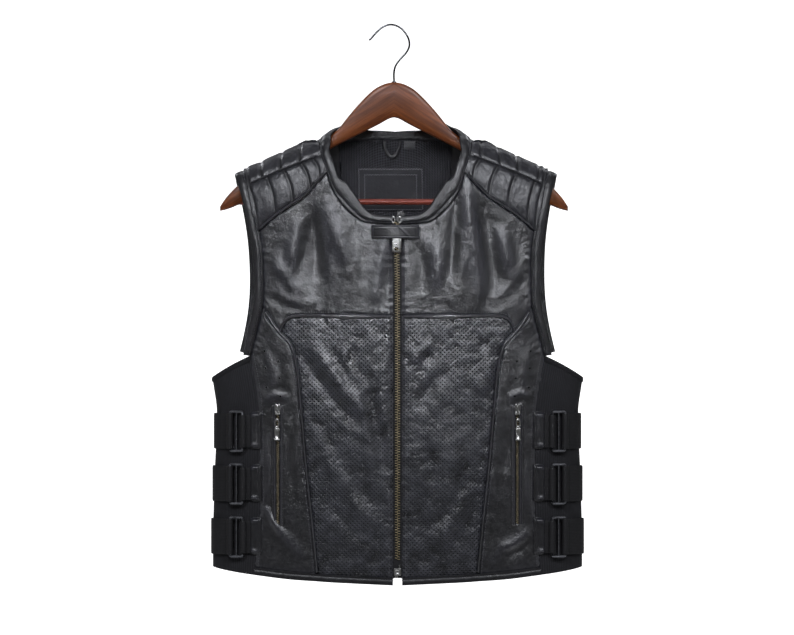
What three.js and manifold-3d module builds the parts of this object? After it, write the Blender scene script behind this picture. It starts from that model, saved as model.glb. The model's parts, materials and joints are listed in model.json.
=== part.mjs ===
// Leather vest, zipped shut, hung on a wooden hanger.
// Millimetres, +Z up. The vest's front faces -Y. The origin is the inside of the
// hook's top, where the hanger rests on a rail. Panels are walls laid on one body
// surface, so neighbours meet edge to edge with a small seam gap.

import * as THREE from 'three';
import { mergeVertices } from 'three/addons/utils/BufferGeometryUtils.js';
import Module from 'manifold-3d';

const wasm = await Module();
wasm.setup();

// Driving sizes
const HANGER_X = 3.9;
const SEAM_GAP = 0.8;
const SEAT_GAP = 0.4;
const LEATHER = 1.6;
const STRETCH = 1.4;
const LINING = 1.0;
const LINING_GAP = 0.7;
const HEM_STRIP = 9.8;
const HEM_OUT = 0.7;
const HEM_TURN = 0.5;
const SECTION_POWER = 2.4;
const SHOULDER_ROLL = 70;
const QUILT_RISE = 4.6;
const QUILT_BASE = 0.8;
const PIPING_HALF_WIDTH = 1.9;
const PIPING_RISE = 2.9;
const PIPING_FOOT = 0.35;
const SHOULDER_PIPING_LIFT = 2.0;
const BINDING_OUT = 1.7;
const BINDING_IN = -2.6;
const QUARTER_TURN = Math.PI / 2;

// Body sections, from shoulder to hem: the middle's place across, the half width,
// and how far front and back stand off
const SECTIONS = [
  { z: -120, middle: 5.2, halfWidth: 243, front: 36, back: 33 },
  { z: -250, middle: 7.0, halfWidth: 243, front: 42, back: 37 },
  { z: -350, middle: 8.2, halfWidth: 243, front: 46, back: 39 },
  { z: -456, middle: 8.5, halfWidth: 241, front: 49, back: 41 },
  { z: -500, middle: 8.5, halfWidth: 236, front: 50, back: 41 },
  { z: -565, middle: 8.5, halfWidth: 237, front: 51, back: 42 },
  { z: -640, middle: 8.5, halfWidth: 239, front: 51, back: 42 },
  { z: -730, middle: 8.5, halfWidth: 241, front: 51, back: 43 },
];

// Height of the shoulder line at each distance from the centre; inside the neck
// it is the line that the back neck would rise to
const SHOULDER_LINE = [
  { u: 0, z: -66 },
  { u: 30, z: -73 },
  { u: 50, z: -88 },
  { u: 64, z: -111 },
  { u: 74, z: -130 },
  { u: 84, z: -138 },
  { u: 104, z: -150 },
  { u: 134, z: -162 },
  { u: 169, z: -178 },
  { u: 196, z: -189 },
  { u: 209.3, z: -194 },
  { u: 250, z: -212 },
];

// Broad soft folds: a trough (negative rise) or a ridge, long in z
const FOLDS = [
  { side: -1, u: 60, z: -300, halfLength: 70, halfWidth: 16, rise: 3.0, slant: 0.1 },
  { side: -1, u: 105, z: -300, halfLength: 75, halfWidth: 16, rise: -3.2, slant: 0.05 },
  { side: 1, u: 75, z: -295, halfLength: 80, halfWidth: 18, rise: 3.4, slant: -0.08 },
  { side: 1, u: 120, z: -310, halfLength: 70, halfWidth: 16, rise: -3.0, slant: 0.0 },
  { side: -1, u: 70, z: -480, halfLength: 90, halfWidth: 18, rise: 3.6, slant: 0.5 },
  { side: -1, u: 40, z: -520, halfLength: 80, halfWidth: 16, rise: -3.0, slant: 0.5 },
  { side: 1, u: 70, z: -560, halfLength: 100, halfWidth: 22, rise: 3.0, slant: -0.1 },
];

// Seams and edges of one half, as distance from the centre and height.
// back: true puts a point on the back sheet.
const NECK_SEAM_FRONT = [
  { u: 5.9, z: -259.2 },
  { u: 39.6, z: -256.6 },
  { u: 50.1, z: -251.4 },
  { u: 68.9, z: -233.9 },
  { u: 82.5, z: -213.1 },
  { u: 89.7, z: -191.6 },
];
const NECK_SEAM_SHOULDER = [
  { u: 89.7, z: -191.6 },
  { u: 97.2, z: -170.5 },
];
const NECK_SEAM_TOP = [
  { u: 97.2, z: -170.5 },
  { u: 99.6, z: -153.6 },
];
const NECK_SEAM_BACK = [
  { u: 0, z: -147, back: true },
  { u: 40, z: -147, back: true },
  { u: 62, z: -147, back: true },
  { u: 80, z: -145, back: true },
  { u: 92, z: -143, back: true },
  { u: 99.6, z: -153.6 },
];
const LOWER_SHOULDER_SEAM = [
  { u: 89.7, z: -191.6 },
  { u: 102.7, z: -205.9 },
  { u: 117.0, z: -220.9 },
  { u: 136.5, z: -233.9 },
  { u: 157.3, z: -248.2 },
  { u: 179.0, z: -267.0 },
];
const UPPER_SHOULDER_SEAM = [
  { u: 97.2, z: -170.5 },
  { u: 143, z: -188 },
  { u: 190.5, z: -208 },
];
const REAR_SHOULDER_SEAM = [
  { u: 99.6, z: -153.6 },
  { u: 122, z: -157.4, back: true },
  { u: 152, z: -181, back: true },
  { u: 189, z: -216, back: true },
];
const ARMHOLE_SEAM_CHEST = [
  { u: 174.6, z: -367.5 },
  { u: 173.6, z: -332.0 },
  { u: 175.1, z: -287.8 },
  { u: 179.0, z: -267.0 },
];
const ARMHOLE_SEAM_SHOULDER = [
  { u: 179.0, z: -267.0 },
  { u: 185.2, z: -237.1 },
  { u: 190.5, z: -208 },
];
const ARMHOLE_SEAM_TOP = [
  { u: 190.5, z: -208 },
  { u: 196.0, z: -189 },
  { u: 189, z: -216, back: true },
];
const ARMHOLE_SEAM_LOW = [
  { u: 190.5, z: -430 },
  { u: 188.5, z: -421.7 },
  { u: 181.3, z: -394.4 },
  { u: 174.6, z: -367.5 },
];
const ARMHOLE_SEAM_BACK = [
  { u: 193, z: -430, back: true },
  { u: 186, z: -394, back: true },
  { u: 179, z: -343.7, back: true },
  { u: 180, z: -300, back: true },
  { u: 185, z: -250, back: true },
  { u: 189, z: -216, back: true },
];
const YOKE_SEAM = [
  { u: 5.9, z: -378.2 },
  { u: 60, z: -378.2 },
  { u: 130, z: -377.8 },
  { u: 141.5, z: -380.6 },
  { u: 147.4, z: -388.0 },
  { u: 151.5, z: -399.4 },
];
const PRINCESS_SEAM_HIGH = [
  { u: 151.5, z: -399.4 },
  { u: 158.5, z: -390.8 },
  { u: 170.5, z: -371.5 },
];
const PRINCESS_SEAM_LOW = [
  { u: 103.6, z: -710.2 },
  { u: 109.9, z: -646.6 },
  { u: 118.0, z: -572.5 },
  { u: 123.8, z: -506.2 },
  { u: 129.7, z: -446.4 },
  { u: 137.5, z: -415.5 },
  { u: 151.5, z: -399.4 },
];
const SIDE_SEAM_FRONT = [
  { u: 184.6, z: -702.5 },
  { u: 178.4, z: -632.3 },
  { u: 178.1, z: -564.7 },
  { u: 179.1, z: -506.2 },
  { u: 182.7, z: -472.4 },
  { u: 190.5, z: -430 },
];
const SIDE_SEAM_BACK = [
  { u: 182, z: -698, back: true },
  { u: 178, z: -632, back: true },
  { u: 177, z: -565, back: true },
  { u: 178, z: -506, back: true },
  { u: 183, z: -470, back: true },
  { u: 193, z: -430, back: true },
];
const HEM_FRONT = [
  { u: 5.9, z: -725.0 },
  { u: 87.8, z: -721.1 },
  { u: 140.4, z: -717.5 },
  { u: 184.6, z: -712.3 },
];
const HEM_BACK = [
  { u: 0, z: -716, back: true },
  { u: 90, z: -714, back: true },
  { u: 182, z: -707.8, back: true },
];
const HEM_AT_SIDE = -702.5;
const UNDERARM_LOW = -457;

// Width of the neck binding along its seam, from the front's middle (0) over the
// shoulder to the back's middle (1)
const NECK_BINDING_WIDTHS = [
  { share: 0, width: 9.8 },
  { share: 0.2, width: 10.4 },
  { share: 0.45, width: 11.2 },
  { share: 0.58, width: 14.5 },
  { share: 0.68, width: 15.5 },
  { share: 0.8, width: 11.5 },
  { share: 1, width: 10.2 },
];

// Free edge of the armhole binding and its seam, from the front underarm over the
// shoulder to the back underarm
const ARMHOLE_ROWS = [
  { edgeU: 199.5, edgeZ: -428, seamU: 190.2, seamZ: -429 },
  { edgeU: 194.5, edgeZ: -401, seamU: 183.4, seamZ: -401 },
  { edgeU: 186.0, edgeZ: -362, seamU: 174.3, seamZ: -362 },
  { edgeU: 185.3, edgeZ: -325, seamU: 173.6, seamZ: -325 },
  { edgeU: 187.8, edgeZ: -290, seamU: 175.0, seamZ: -289 },
  { edgeU: 192.8, edgeZ: -260, seamU: 180.2, seamZ: -260 },
  { edgeU: 198.5, edgeZ: -231, seamU: 186.4, seamZ: -231 },
  { edgeU: 205.5, edgeZ: -206, seamU: 190.9, seamZ: -206 },
  { edgeU: 209.0, edgeZ: -196.5, seamU: 195.4, seamZ: -192 },
  { edgeU: 209.0, edgeZ: -197.5, seamU: 195.0, seamZ: -193, back: true },
  { edgeU: 206.5, edgeZ: -212, seamU: 189.6, seamZ: -213, back: true },
  { edgeU: 200.5, edgeZ: -238, seamU: 186.5, seamZ: -238, back: true },
  { edgeU: 194.5, edgeZ: -280, seamU: 181.2, seamZ: -280, back: true },
  { edgeU: 192.5, edgeZ: -330, seamU: 179.0, seamZ: -330, back: true },
  { edgeU: 194.5, edgeZ: -365, seamU: 181.3, seamZ: -365, back: true },
  { edgeU: 199.5, edgeZ: -396, seamU: 186.4, seamZ: -396, back: true },
  { edgeU: 206.0, edgeZ: -424, seamU: 192.4, seamZ: -428, back: true },
];

// Three side straps on each side: height of the middle
const STRAPS = [{ z: -526.5 }, { z: -594.5 }, { z: -663 }];
const STRAP_HEIGHT = 46;
const STRAP_THICK = 1.9;
const STRAP_FRONT_U = 213.5;
const STRAP_BACK_U = 168;
const BUCKLE_WIDTH = 21;
const BUCKLE_HEIGHT = 54;
const BUCKLE_BAR = 2.8;
const BUCKLE_LIFT = 5.4;
const BUCKLE_U = 206.5;
const ROLL_OUTER = 4.1;
const ROLL_INNER = 2.35;
const TAB_INNER_U = 175.5;

// Zips
const TAPE_HALF = 5.4;
const TEETH_HALF = 3.1;
const TEETH_RISE = 1.5;
const ZIP_TOP = -262.5;
const ZIP_BOTTOM = -716;
const SLIDER = { top: -263.5, bottom: -277.8, halfWidth: 4.8, rise: 4.2 };
const BOTTOM_BOX = { top: -696, bottom: -714, halfWidth: 5.2, rise: 3.2 };
const POCKET_U = 154.5;
const POCKET_TOP = -492;
const POCKET_BOTTOM = -649;
const POCKET_HALF = 8;
const POCKET_WELT_EDGE = 3.8;
const POCKET_SLIDER = { below: 6, length: 13 };
const SLIDER_BEVEL = 0.8;
const POCKET_SLIDER_PROFILE = [[3.5, 4.7], [2.9, 5.2]];
const POCKET_TEETH_PROFILE = [[2.8, 0.9], [2.2, 1.9]];

// Neck tab over the zip's top
const NECK_TAB = { left: -32.5, right: 29.5, top: -260.2, bottom: -277.8, low: 7.2, high: 9.4 };

// Zip pulls, hung from a pivot
const MAIN_PULL = { z: -277.0, length: 18.8, halfWidth: 5.9, thick: 1.7, lift: 4.6 };
const POCKET_PULL = { z: -510, length: 28.5, halfWidth: 3.2, thick: 1.5, lift: 6.2 };

// Hanger
const HANGER_THICK = 12.5;
const HANGER_ARM = [
  { x: 0, top: -73.3, bottom: -118.2 },
  { x: 8, top: -74.2, bottom: -121.6 },
  { x: 15.6, top: -76.9, bottom: -126.4 },
  { x: 24, top: -81.2, bottom: -130.8 },
  { x: 31.2, top: -87.0, bottom: -134.4 },
  { x: 45.5, top: -101.5, bottom: -141.4 },
  { x: 58.5, top: -116.6, bottom: -148.0 },
  { x: 74.8, top: -137.8, bottom: -156.3 },
  { x: 95, top: -151.3, bottom: -167.5 },
  { x: 130, top: -168.6, bottom: -189.5 },
  { x: 165, top: -186.0, bottom: -211.4 },
  { x: 195.8, top: -202.8, bottom: -230.6 },
  { x: 209, top: -213.0, bottom: -236.2 },
  { x: 219, top: -224.2, bottom: -239.6 },
  { x: 226, top: -235.0, bottom: -241.0 },
];
const HANGER_RING = 12;
const HANGER_ROUND_Y = 0.6;
const HANGER_ROUND_Z = 0.7;
const BAR_RADIUS = 3.8;
const BAR_Z = -229.3;
const BAR_REACH = 201;
const SOCKET_CLEAR = 0.35;
const WIRE_RADIUS = 1.3;
const HOOK_SOCKET = { top: -60, bottom: -86 };

// Route of the hook's wire, its tip first
const HOOK_ROUTE = [
  { x: -28.6, z: -19.4 },
  { x: -24.7, z: -15.5 },
  { x: -19.5, z: -9.6 },
  { x: -10.4, z: -1.8 },
  { x: 0, z: 1.3 },
  { x: 10.4, z: -1.8 },
  { x: 17.6, z: -8.3 },
  { x: 22.8, z: -17.4 },
  { x: 23.8, z: -26.5 },
  { x: 19.5, z: -35.6 },
  { x: 11.7, z: -44.1 },
  { x: 5.9, z: -52.5 },
  { x: 3.9, z: -61 },
  { x: 3.9, z: -72 },
  { x: 3.9, z: -85 },
];

// Materials
function finish(color, roughness, metalness) {
  return { color, roughness, metalness };
}
const GRAIN_LEATHER = finish(0x2b2b2f, 0.55, 0);
const PIERCED_LEATHER = finish(0x22232a, 0.6, 0);
const STRETCH_CLOTH = finish(0x232325, 0.95, 0);
const ELASTIC = finish(0x2a2a2b, 0.9, 0);
const MESH_LINING = finish(0x16171a, 0.95, 0);
const GUNMETAL = finish(0x3a3b3e, 0.4, 0.9);
const NICKEL = finish(0xa9a9a6, 0.3, 1);
const ANTIQUE_BRASS = finish(0x6b5f45, 0.45, 0.9);
const MAHOGANY = finish(0x6b3f2c, 0.4, 0);
const REDWOOD = finish(0x7a4034, 0.45, 0);

const vest = new THREE.Group();

function addMesh(name, geometry, material) {
  const mesh = new THREE.Mesh(geometry, new THREE.MeshStandardMaterial(material));
  mesh.name = name;
  vest.add(mesh);
}

// A column of a table, read smoothly at any place
function smoothColumn(table, key, place, column) {
  const rising = table[table.length - 1][key] > table[0][key];
  const rows = rising ? table : [...table].reverse();
  const last = rows.length - 1;
  if (place <= rows[0][key]) return rows[0][column];
  if (place >= rows[last][key]) return rows[last][column];
  let k = 0;
  while (rows[k + 1][key] < place) k += 1;
  const slope = (a, b) => (rows[b][column] - rows[a][column]) / (rows[b][key] - rows[a][key]);
  const span = rows[k + 1][key] - rows[k][key];
  const t = (place - rows[k][key]) / span;
  const m0 = k > 0 ? slope(k - 1, k + 1) * span : slope(k, k + 1) * span;
  const m1 = k + 1 < last ? slope(k, k + 2) * span : slope(k, k + 1) * span;
  const h = (1 - t) * (1 - t);
  return h * (1 + 2 * t) * rows[k][column] + h * t * m0
    + t * t * (3 - 2 * t) * rows[k + 1][column] - t * t * (1 - t) * m1;
}

// The body surface. u runs across from the centre line. w runs over the shoulder:
// 0 on the shoulder line, negative down the front, positive down the back.
const ROLL_LENGTH = SHOULDER_ROLL * QUARTER_TURN;

function middleX(z) {
  return smoothColumn(SECTIONS, 'z', z, 'middle');
}

function shoulderZ(u) {
  return smoothColumn(SHOULDER_LINE, 'u', Math.abs(u), 'z');
}

function foldRise(u, z) {
  let rise = 0;
  for (const fold of FOLDS) {
    const middle = fold.side * (fold.u + fold.slant * (z - fold.z));
    const across = (u - middle) / fold.halfWidth;
    const along = (z - fold.z) / fold.halfLength;
    rise += fold.rise * Math.exp(-across * across - along * along);
  }
  return rise;
}

function bodyDepth(u, z, isBack) {
  const halfWidth = smoothColumn(SECTIONS, 'z', z, 'halfWidth');
  const depth = smoothColumn(SECTIONS, 'z', z, isBack ? 'back' : 'front');
  const reach = Math.min(Math.abs(u) / halfWidth, 1);
  const round = Math.pow(1 - Math.pow(reach, SECTION_POWER), 1 / SECTION_POWER);
  return depth * round + (isBack ? 0 : foldRise(u, z) * round);
}

function heightAt(u, w) {
  const run = Math.abs(w);
  const top = shoulderZ(u);
  if (run < ROLL_LENGTH) return top - SHOULDER_ROLL * (1 - Math.cos(run / SHOULDER_ROLL));
  return top - SHOULDER_ROLL - (run - ROLL_LENGTH);
}

function bodyPoint(u, w) {
  const run = Math.abs(w);
  const z = heightAt(u, w);
  const over = run < ROLL_LENGTH ? Math.sin(run / SHOULDER_ROLL) : 1;
  const y = Math.sign(w) * over * bodyDepth(u, z, w > 0);
  return new THREE.Vector3(middleX(z) + u, y, z);
}

function runAt(u, z, isBack) {
  const drop = shoulderZ(u) - z;
  const turn = Math.min(Math.max(drop / SHOULDER_ROLL, 0), 1);
  const run = drop < SHOULDER_ROLL
    ? SHOULDER_ROLL * Math.acos(1 - turn)
    : ROLL_LENGTH + drop - SHOULDER_ROLL;
  return isBack ? run : -run;
}

// The same surface round the side, by an angle: a quarter turn at the front's centre,
// zero at the side, minus a quarter turn at the back's centre
function sidePoint(angle, z) {
  const c = Math.cos(angle);
  const s = Math.sin(angle);
  const halfWidth = smoothColumn(SECTIONS, 'z', z, 'halfWidth');
  const u = halfWidth * Math.pow(Math.abs(c), 2 / SECTION_POWER);
  const depth = smoothColumn(SECTIONS, 'z', z, s > 0 ? 'front' : 'back');
  const y = -Math.sign(s) * depth * Math.pow(Math.abs(s), 2 / SECTION_POWER);
  return new THREE.Vector3(u, y, z);
}

function sideAngle(u, z, isBack) {
  const halfWidth = smoothColumn(SECTIONS, 'z', z, 'halfWidth');
  const c = Math.pow(Math.min(u / halfWidth, 1), SECTION_POWER / 2);
  return isBack ? -Math.acos(c) : Math.acos(c);
}

// A point lifted off a surface along its outward normal
function lifted(surface, a, b, lift, stepA, stepB) {
  const alongA = surface(a + stepA, b).sub(surface(a - stepA, b));
  const alongB = surface(a, b + stepB).sub(surface(a, b - stepB));
  const normal = alongA.cross(alongB).normalize();
  return surface(a, b).addScaledVector(normal, lift);
}

function onBody(u, w, lift) {
  return lifted(bodyPoint, u, w, lift, 1.5, 1.5);
}

function onSide(side, angle, z, lift) {
  const point = lifted((a, b) => sidePoint(-a, b), -angle, z, lift, 0.01, 1.0);
  return new THREE.Vector3(middleX(z) + side * point.x, point.y, point.z);
}

// A closed mesh from points and triangles, its faces turned outwards
function closedGeometry(points, triangles) {
  let volume = 0;
  for (const [a, b, c] of triangles) {
    volume += points[a].dot(points[b].clone().cross(points[c]));
  }
  const faces = volume < 0 ? triangles.map(([a, b, c]) => [a, c, b]) : triangles;
  const geometry = new THREE.BufferGeometry();
  geometry.setAttribute(
    'position',
    new THREE.Float32BufferAttribute(points.flatMap((p) => [p.x, p.y, p.z]), 3),
  );
  geometry.setIndex(faces.flat());
  return geometry;
}

function quad(list, a, b, c, d) {
  list.push([a, b, c], [a, c, d]);
}

// A wall between an outer and an inner grid of points, closed all round
function wall(outer, inner) {
  const rows = outer.length;
  const cols = outer[0].length;
  const points = [...outer.flat(), ...inner.flat()];
  const at = (i, j) => i * cols + j;
  const under = (i, j) => rows * cols + at(i, j);
  const triangles = [];
  for (let i = 0; i + 1 < rows; i += 1) {
    for (let j = 0; j + 1 < cols; j += 1) {
      quad(triangles, at(i, j), at(i, j + 1), at(i + 1, j + 1), at(i + 1, j));
      quad(triangles, under(i, j), under(i + 1, j), under(i + 1, j + 1), under(i, j + 1));
    }
    quad(triangles, at(i, 0), at(i + 1, 0), under(i + 1, 0), under(i, 0));
    quad(triangles, at(i + 1, cols - 1), at(i, cols - 1), under(i, cols - 1), under(i + 1, cols - 1));
  }
  for (let j = 0; j + 1 < cols; j += 1) {
    quad(triangles, at(0, j + 1), at(0, j), under(0, j), under(0, j + 1));
    quad(triangles, at(rows - 1, j), at(rows - 1, j + 1), under(rows - 1, j + 1), under(rows - 1, j));
  }
  return closedGeometry(points, triangles);
}

// A tube of closed rings with flat ends
function ringSolid(rings) {
  const count = rings[0].length;
  const points = rings.flat();
  const triangles = [];
  for (let i = 0; i + 1 < rings.length; i += 1) {
    for (let j = 0; j < count; j += 1) {
      const next = (j + 1) % count;
      const here = i * count;
      const there = here + count;
      quad(triangles, here + j, here + next, there + next, there + j);
    }
  }
  const end = (rings.length - 1) * count;
  for (let j = 1; j + 1 < count; j += 1) {
    triangles.push([0, j + 1, j], [end, end + j, end + j + 1]);
  }
  return closedGeometry(points, triangles);
}

// Booleans on closed meshes
function solidOf(geometry) {
  const bare = geometry.clone();
  bare.deleteAttribute('normal');
  bare.deleteAttribute('uv');
  const merged = mergeVertices(bare, 1e-4);
  return new wasm.Manifold(new wasm.Mesh({
    numProp: 3,
    vertProperties: new Float32Array(merged.attributes.position.array),
    triVerts: new Uint32Array(merged.index.array),
  }));
}

function geometryOf(solid) {
  const mesh = solid.getMesh();
  const geometry = new THREE.BufferGeometry();
  geometry.setAttribute('position', new THREE.Float32BufferAttribute(mesh.vertProperties, 3));
  geometry.setIndex(Array.from(mesh.triVerts));
  return geometry;
}

function fuse(...pieces) {
  return geometryOf(pieces.map(solidOf).reduce((whole, piece) => whole.add(piece)));
}

// Curves in surface coordinates [u, w]
function route(table, steps) {
  const crosses = table.some((row) => Boolean(row.back) !== Boolean(table[0].back));
  const isBack = Boolean(table[0].back);
  const spread = (row) => (crosses ? runAt(row.u, row.z, row.back) : row.z);
  const flat = table.map((row) => new THREE.Vector3(row.u, spread(row), 0));
  const curve = new THREE.CatmullRomCurve3(flat, false, 'centripetal');
  const points = curve.getSpacedPoints(steps);
  return points.map((p) => [p.x, crosses ? p.y : runAt(p.x, p.y, isBack)]);
}

function joined(first, second) {
  return [...first, ...second.slice(1)];
}

function hemSeam(table) {
  return table.map((row) => ({ ...row, z: row.z + HEM_STRIP }));
}

function straight(from, to, steps) {
  const line = [];
  for (let k = 0; k <= steps; k += 1) {
    const t = k / steps;
    line.push([from[0] + (to[0] - from[0]) * t, from[1] + (to[1] - from[1]) * t]);
  }
  return line;
}

// A four-sided patch filled from its edges; bottom and top run the same way
function patch(bottom, top, left, right) {
  const cols = bottom.length - 1;
  const rows = left.length - 1;
  const grid = [];
  for (let i = 0; i <= rows; i += 1) {
    const t = i / rows;
    const row = [];
    for (let j = 0; j <= cols; j += 1) {
      const s = j / cols;
      const mix = (k) => (1 - t) * bottom[j][k] + t * top[j][k]
        + (1 - s) * left[i][k] + s * right[i][k]
        - (1 - s) * (1 - t) * bottom[0][k] - s * (1 - t) * bottom[cols][k]
        - (1 - s) * t * top[0][k] - s * t * top[cols][k];
      row.push([mix(0), mix(1)]);
    }
    grid.push(row);
  }
  return grid;
}

// Moves a patch's edges in, square to each edge, by half a seam gap
function inset(grid, gap = SEAM_GAP / 2) {
  const rows = grid.length - 1;
  const cols = grid[0].length - 1;
  const across = [grid[0][cols][0] - grid[0][0][0], grid[0][cols][1] - grid[0][0][1]];
  const upward = [grid[rows][0][0] - grid[0][0][0], grid[rows][0][1] - grid[0][0][1]];
  const turn = Math.sign(across[0] * upward[1] - across[1] * upward[0]);
  return grid.map((row, i) => row.map((point, j) => {
    const moved = [...point];
    const shift = (before, after, way) => {
      const du = after[0] - before[0];
      const dw = after[1] - before[1];
      const length = Math.hypot(du, dw) || 1;
      moved[0] -= (dw / length) * gap * way * turn;
      moved[1] += (du / length) * gap * way * turn;
    };
    const beside = (k) => row[Math.min(Math.max(k, 0), cols)];
    const aboveBelow = (k) => grid[Math.min(Math.max(k, 0), rows)][j];
    if (i === 0) shift(beside(j - 1), beside(j + 1), 1);
    if (i === rows) shift(beside(j - 1), beside(j + 1), -1);
    if (j === 0) shift(aboveBelow(i - 1), aboveBelow(i + 1), -1);
    if (j === cols) shift(aboveBelow(i - 1), aboveBelow(i + 1), 1);
    return moved;
  }));
}

function flatWall(side, grid, outerLift, innerLift) {
  const lay = (lift) => grid.map((row, i) => row.map(([u, w], j) => {
    const height = typeof lift === 'function' ? lift(i, j) : lift;
    return onBody(side * u, w, height);
  }));
  return wall(lay(outerLift), lay(innerLift));
}

// Seams used by more than one panel
const neckFront = route(NECK_SEAM_FRONT, 8);
const neckShoulder = route(NECK_SEAM_SHOULDER, 4);
const neckTop = route(NECK_SEAM_TOP, 5);
const neckBack = route(NECK_SEAM_BACK, 8);
const lowerShoulder = route(LOWER_SHOULDER_SEAM, 7);
const lowerShoulderFine = route(LOWER_SHOULDER_SEAM, 14);
const upperShoulder = route(UPPER_SHOULDER_SEAM, 14);
const rearShoulder = route(REAR_SHOULDER_SEAM, 14);
const rearShoulderCoarse = route(REAR_SHOULDER_SEAM, 7);
const armChest = route(ARMHOLE_SEAM_CHEST, 8);
const armShoulder = route(ARMHOLE_SEAM_SHOULDER, 4);
const armTop = route(ARMHOLE_SEAM_TOP, 5);
const armLow = route(ARMHOLE_SEAM_LOW, 5);
const armBack = route(ARMHOLE_SEAM_BACK, 8);
const yoke = route(YOKE_SEAM, 11);
const princessHigh = route(PRINCESS_SEAM_HIGH, 3);
const princessLow = route(PRINCESS_SEAM_LOW, 14);
const sideFront = route(SIDE_SEAM_FRONT, 12);
const sideBack = route(SIDE_SEAM_BACK, 7);

const hemSeamInner = route(hemSeam([HEM_FRONT[0], HEM_FRONT[1], { u: 103.6, z: -720 }]), 11);
const hemSeamOuter = route(hemSeam([{ u: 103.6, z: -720 }, HEM_FRONT[2], HEM_FRONT[3]]), 5);
const hemSeamBack = route(hemSeam(HEM_BACK), 15);

// Leather panels of one side
function addFrontPanels(side, tag) {
  const tip = straight(princessHigh[3], armChest[0], 5);
  const upper = patch(
    joined(joined(yoke, princessHigh), [tip[0], tip[5]]),
    joined(neckFront, lowerShoulder),
    straight(yoke[0], neckFront[0], 8),
    armChest,
  );
  addMesh(`front_upper_${tag}`, flatWall(side, inset(upper), 0, -LEATHER), GRAIN_LEATHER);

  const lower = patch(hemSeamInner, yoke, straight(hemSeamInner[0], yoke[0], 14), princessLow);
  addMesh(`front_lower_${tag}`, flatWall(side, inset(lower), 0, -LEATHER), PIERCED_LEATHER);

  const flank = patch(
    hemSeamOuter,
    tip,
    joined(princessLow, princessHigh),
    joined(sideFront, armLow),
  );
  addMesh(`side_front_${tag}`, flatWall(side, inset(flank), 0, -LEATHER), GRAIN_LEATHER);
}

// Quilted shoulder rows: pillows between stitched channels, full in the middle and
// steep at their seams
const PILLOWS = 5;
const PILLOW_POWER = 0.6;
const SEAM_POWER = 0.5;

function pillow(share, pillows) {
  const within = (share * pillows) % 1;
  return Math.pow(Math.sin(Math.PI * within), PILLOW_POWER);
}

function quiltedWall(side, grid, pillows) {
  const rows = grid.length - 1;
  const cols = grid[0].length - 1;
  const raise = (i, j) => {
    const up = Math.pow(Math.sin((Math.PI * i) / rows), SEAM_POWER) || 0;
    return QUILT_BASE + (QUILT_RISE - QUILT_BASE) * up * pillow(j / cols, pillows);
  };
  return flatWall(side, inset(grid), raise, -LEATHER);
}

function addShoulder(side, tag) {
  const frontRow = patch(lowerShoulderFine, upperShoulder, neckShoulder, armShoulder);
  addMesh(`shoulder_front_row_${tag}`, quiltedWall(side, frontRow, PILLOWS), GRAIN_LEATHER);
  const topRow = patch(upperShoulder, rearShoulder, neckTop, armTop);
  addMesh(`shoulder_top_row_${tag}`, quiltedWall(side, topRow, PILLOWS), GRAIN_LEATHER);
}

// Back panel: one piece from neck seam to hem, shaped round both armholes. Its rows
// crowd together above the waist, and the lining takes its grid behind the neck.
const WAIST_Z = -410;
const CROWDING = 1.7;
const LINING_FIRST_ROW = 3;
const LINING_COLUMNS = neckBack.length - 3;
const LINING_INSET = 1.2;

function bothSides(grid) {
  return grid.map((row) => [
    ...row.slice(1).reverse().map(([u, w]) => [-u, w]),
    ...row,
  ]);
}

function addBack() {
  const top = joined(neckBack, rearShoulderCoarse);
  const rowsBelow = sideBack.length - 1;
  const rowsAbove = armBack.length - 1;
  const low = hemSeam(HEM_BACK)[0].z;
  const high = NECK_SEAM_BACK[0].z;
  const centre = [];
  for (let k = 0; k <= rowsBelow; k += 1) {
    centre.push([0, runAt(0, low + ((WAIST_Z - low) * k) / rowsBelow, true)]);
  }
  for (let k = 1; k <= rowsAbove; k += 1) {
    const left = Math.pow(1 - k / rowsAbove, CROWDING);
    centre.push([0, runAt(0, high + (WAIST_Z - high) * left, true)]);
  }
  const half = patch(hemSeamBack, top, centre, joined(sideBack, armBack));
  const trimmed = inset(half);
  const centred = trimmed.map((row) => [[0, row[0][1]], ...row.slice(1)]);
  addMesh('back', flatWall(1, bothSides(centred), 0, -LEATHER), GRAIN_LEATHER);

  const behindNeck = centred.slice(LINING_FIRST_ROW).map((row) => row.slice(0, LINING_COLUMNS));
  const lined = inset(behindNeck, LINING_INSET).map((row) => [[0, row[0][1]], ...row.slice(1)]);
  const face = -LEATHER - LINING_GAP;
  addMesh('back_lining', flatWall(1, bothSides(lined), face, face - LINING), MESH_LINING);
}

// Stretch side panel, wrapped round the side between the two side seams
const STRETCH_FACE = -0.1;
const STRETCH_COLUMNS = 8;
const STRETCH_ROWS = 12;
const STRETCH_GAP_ANGLE = 0.004;

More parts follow.
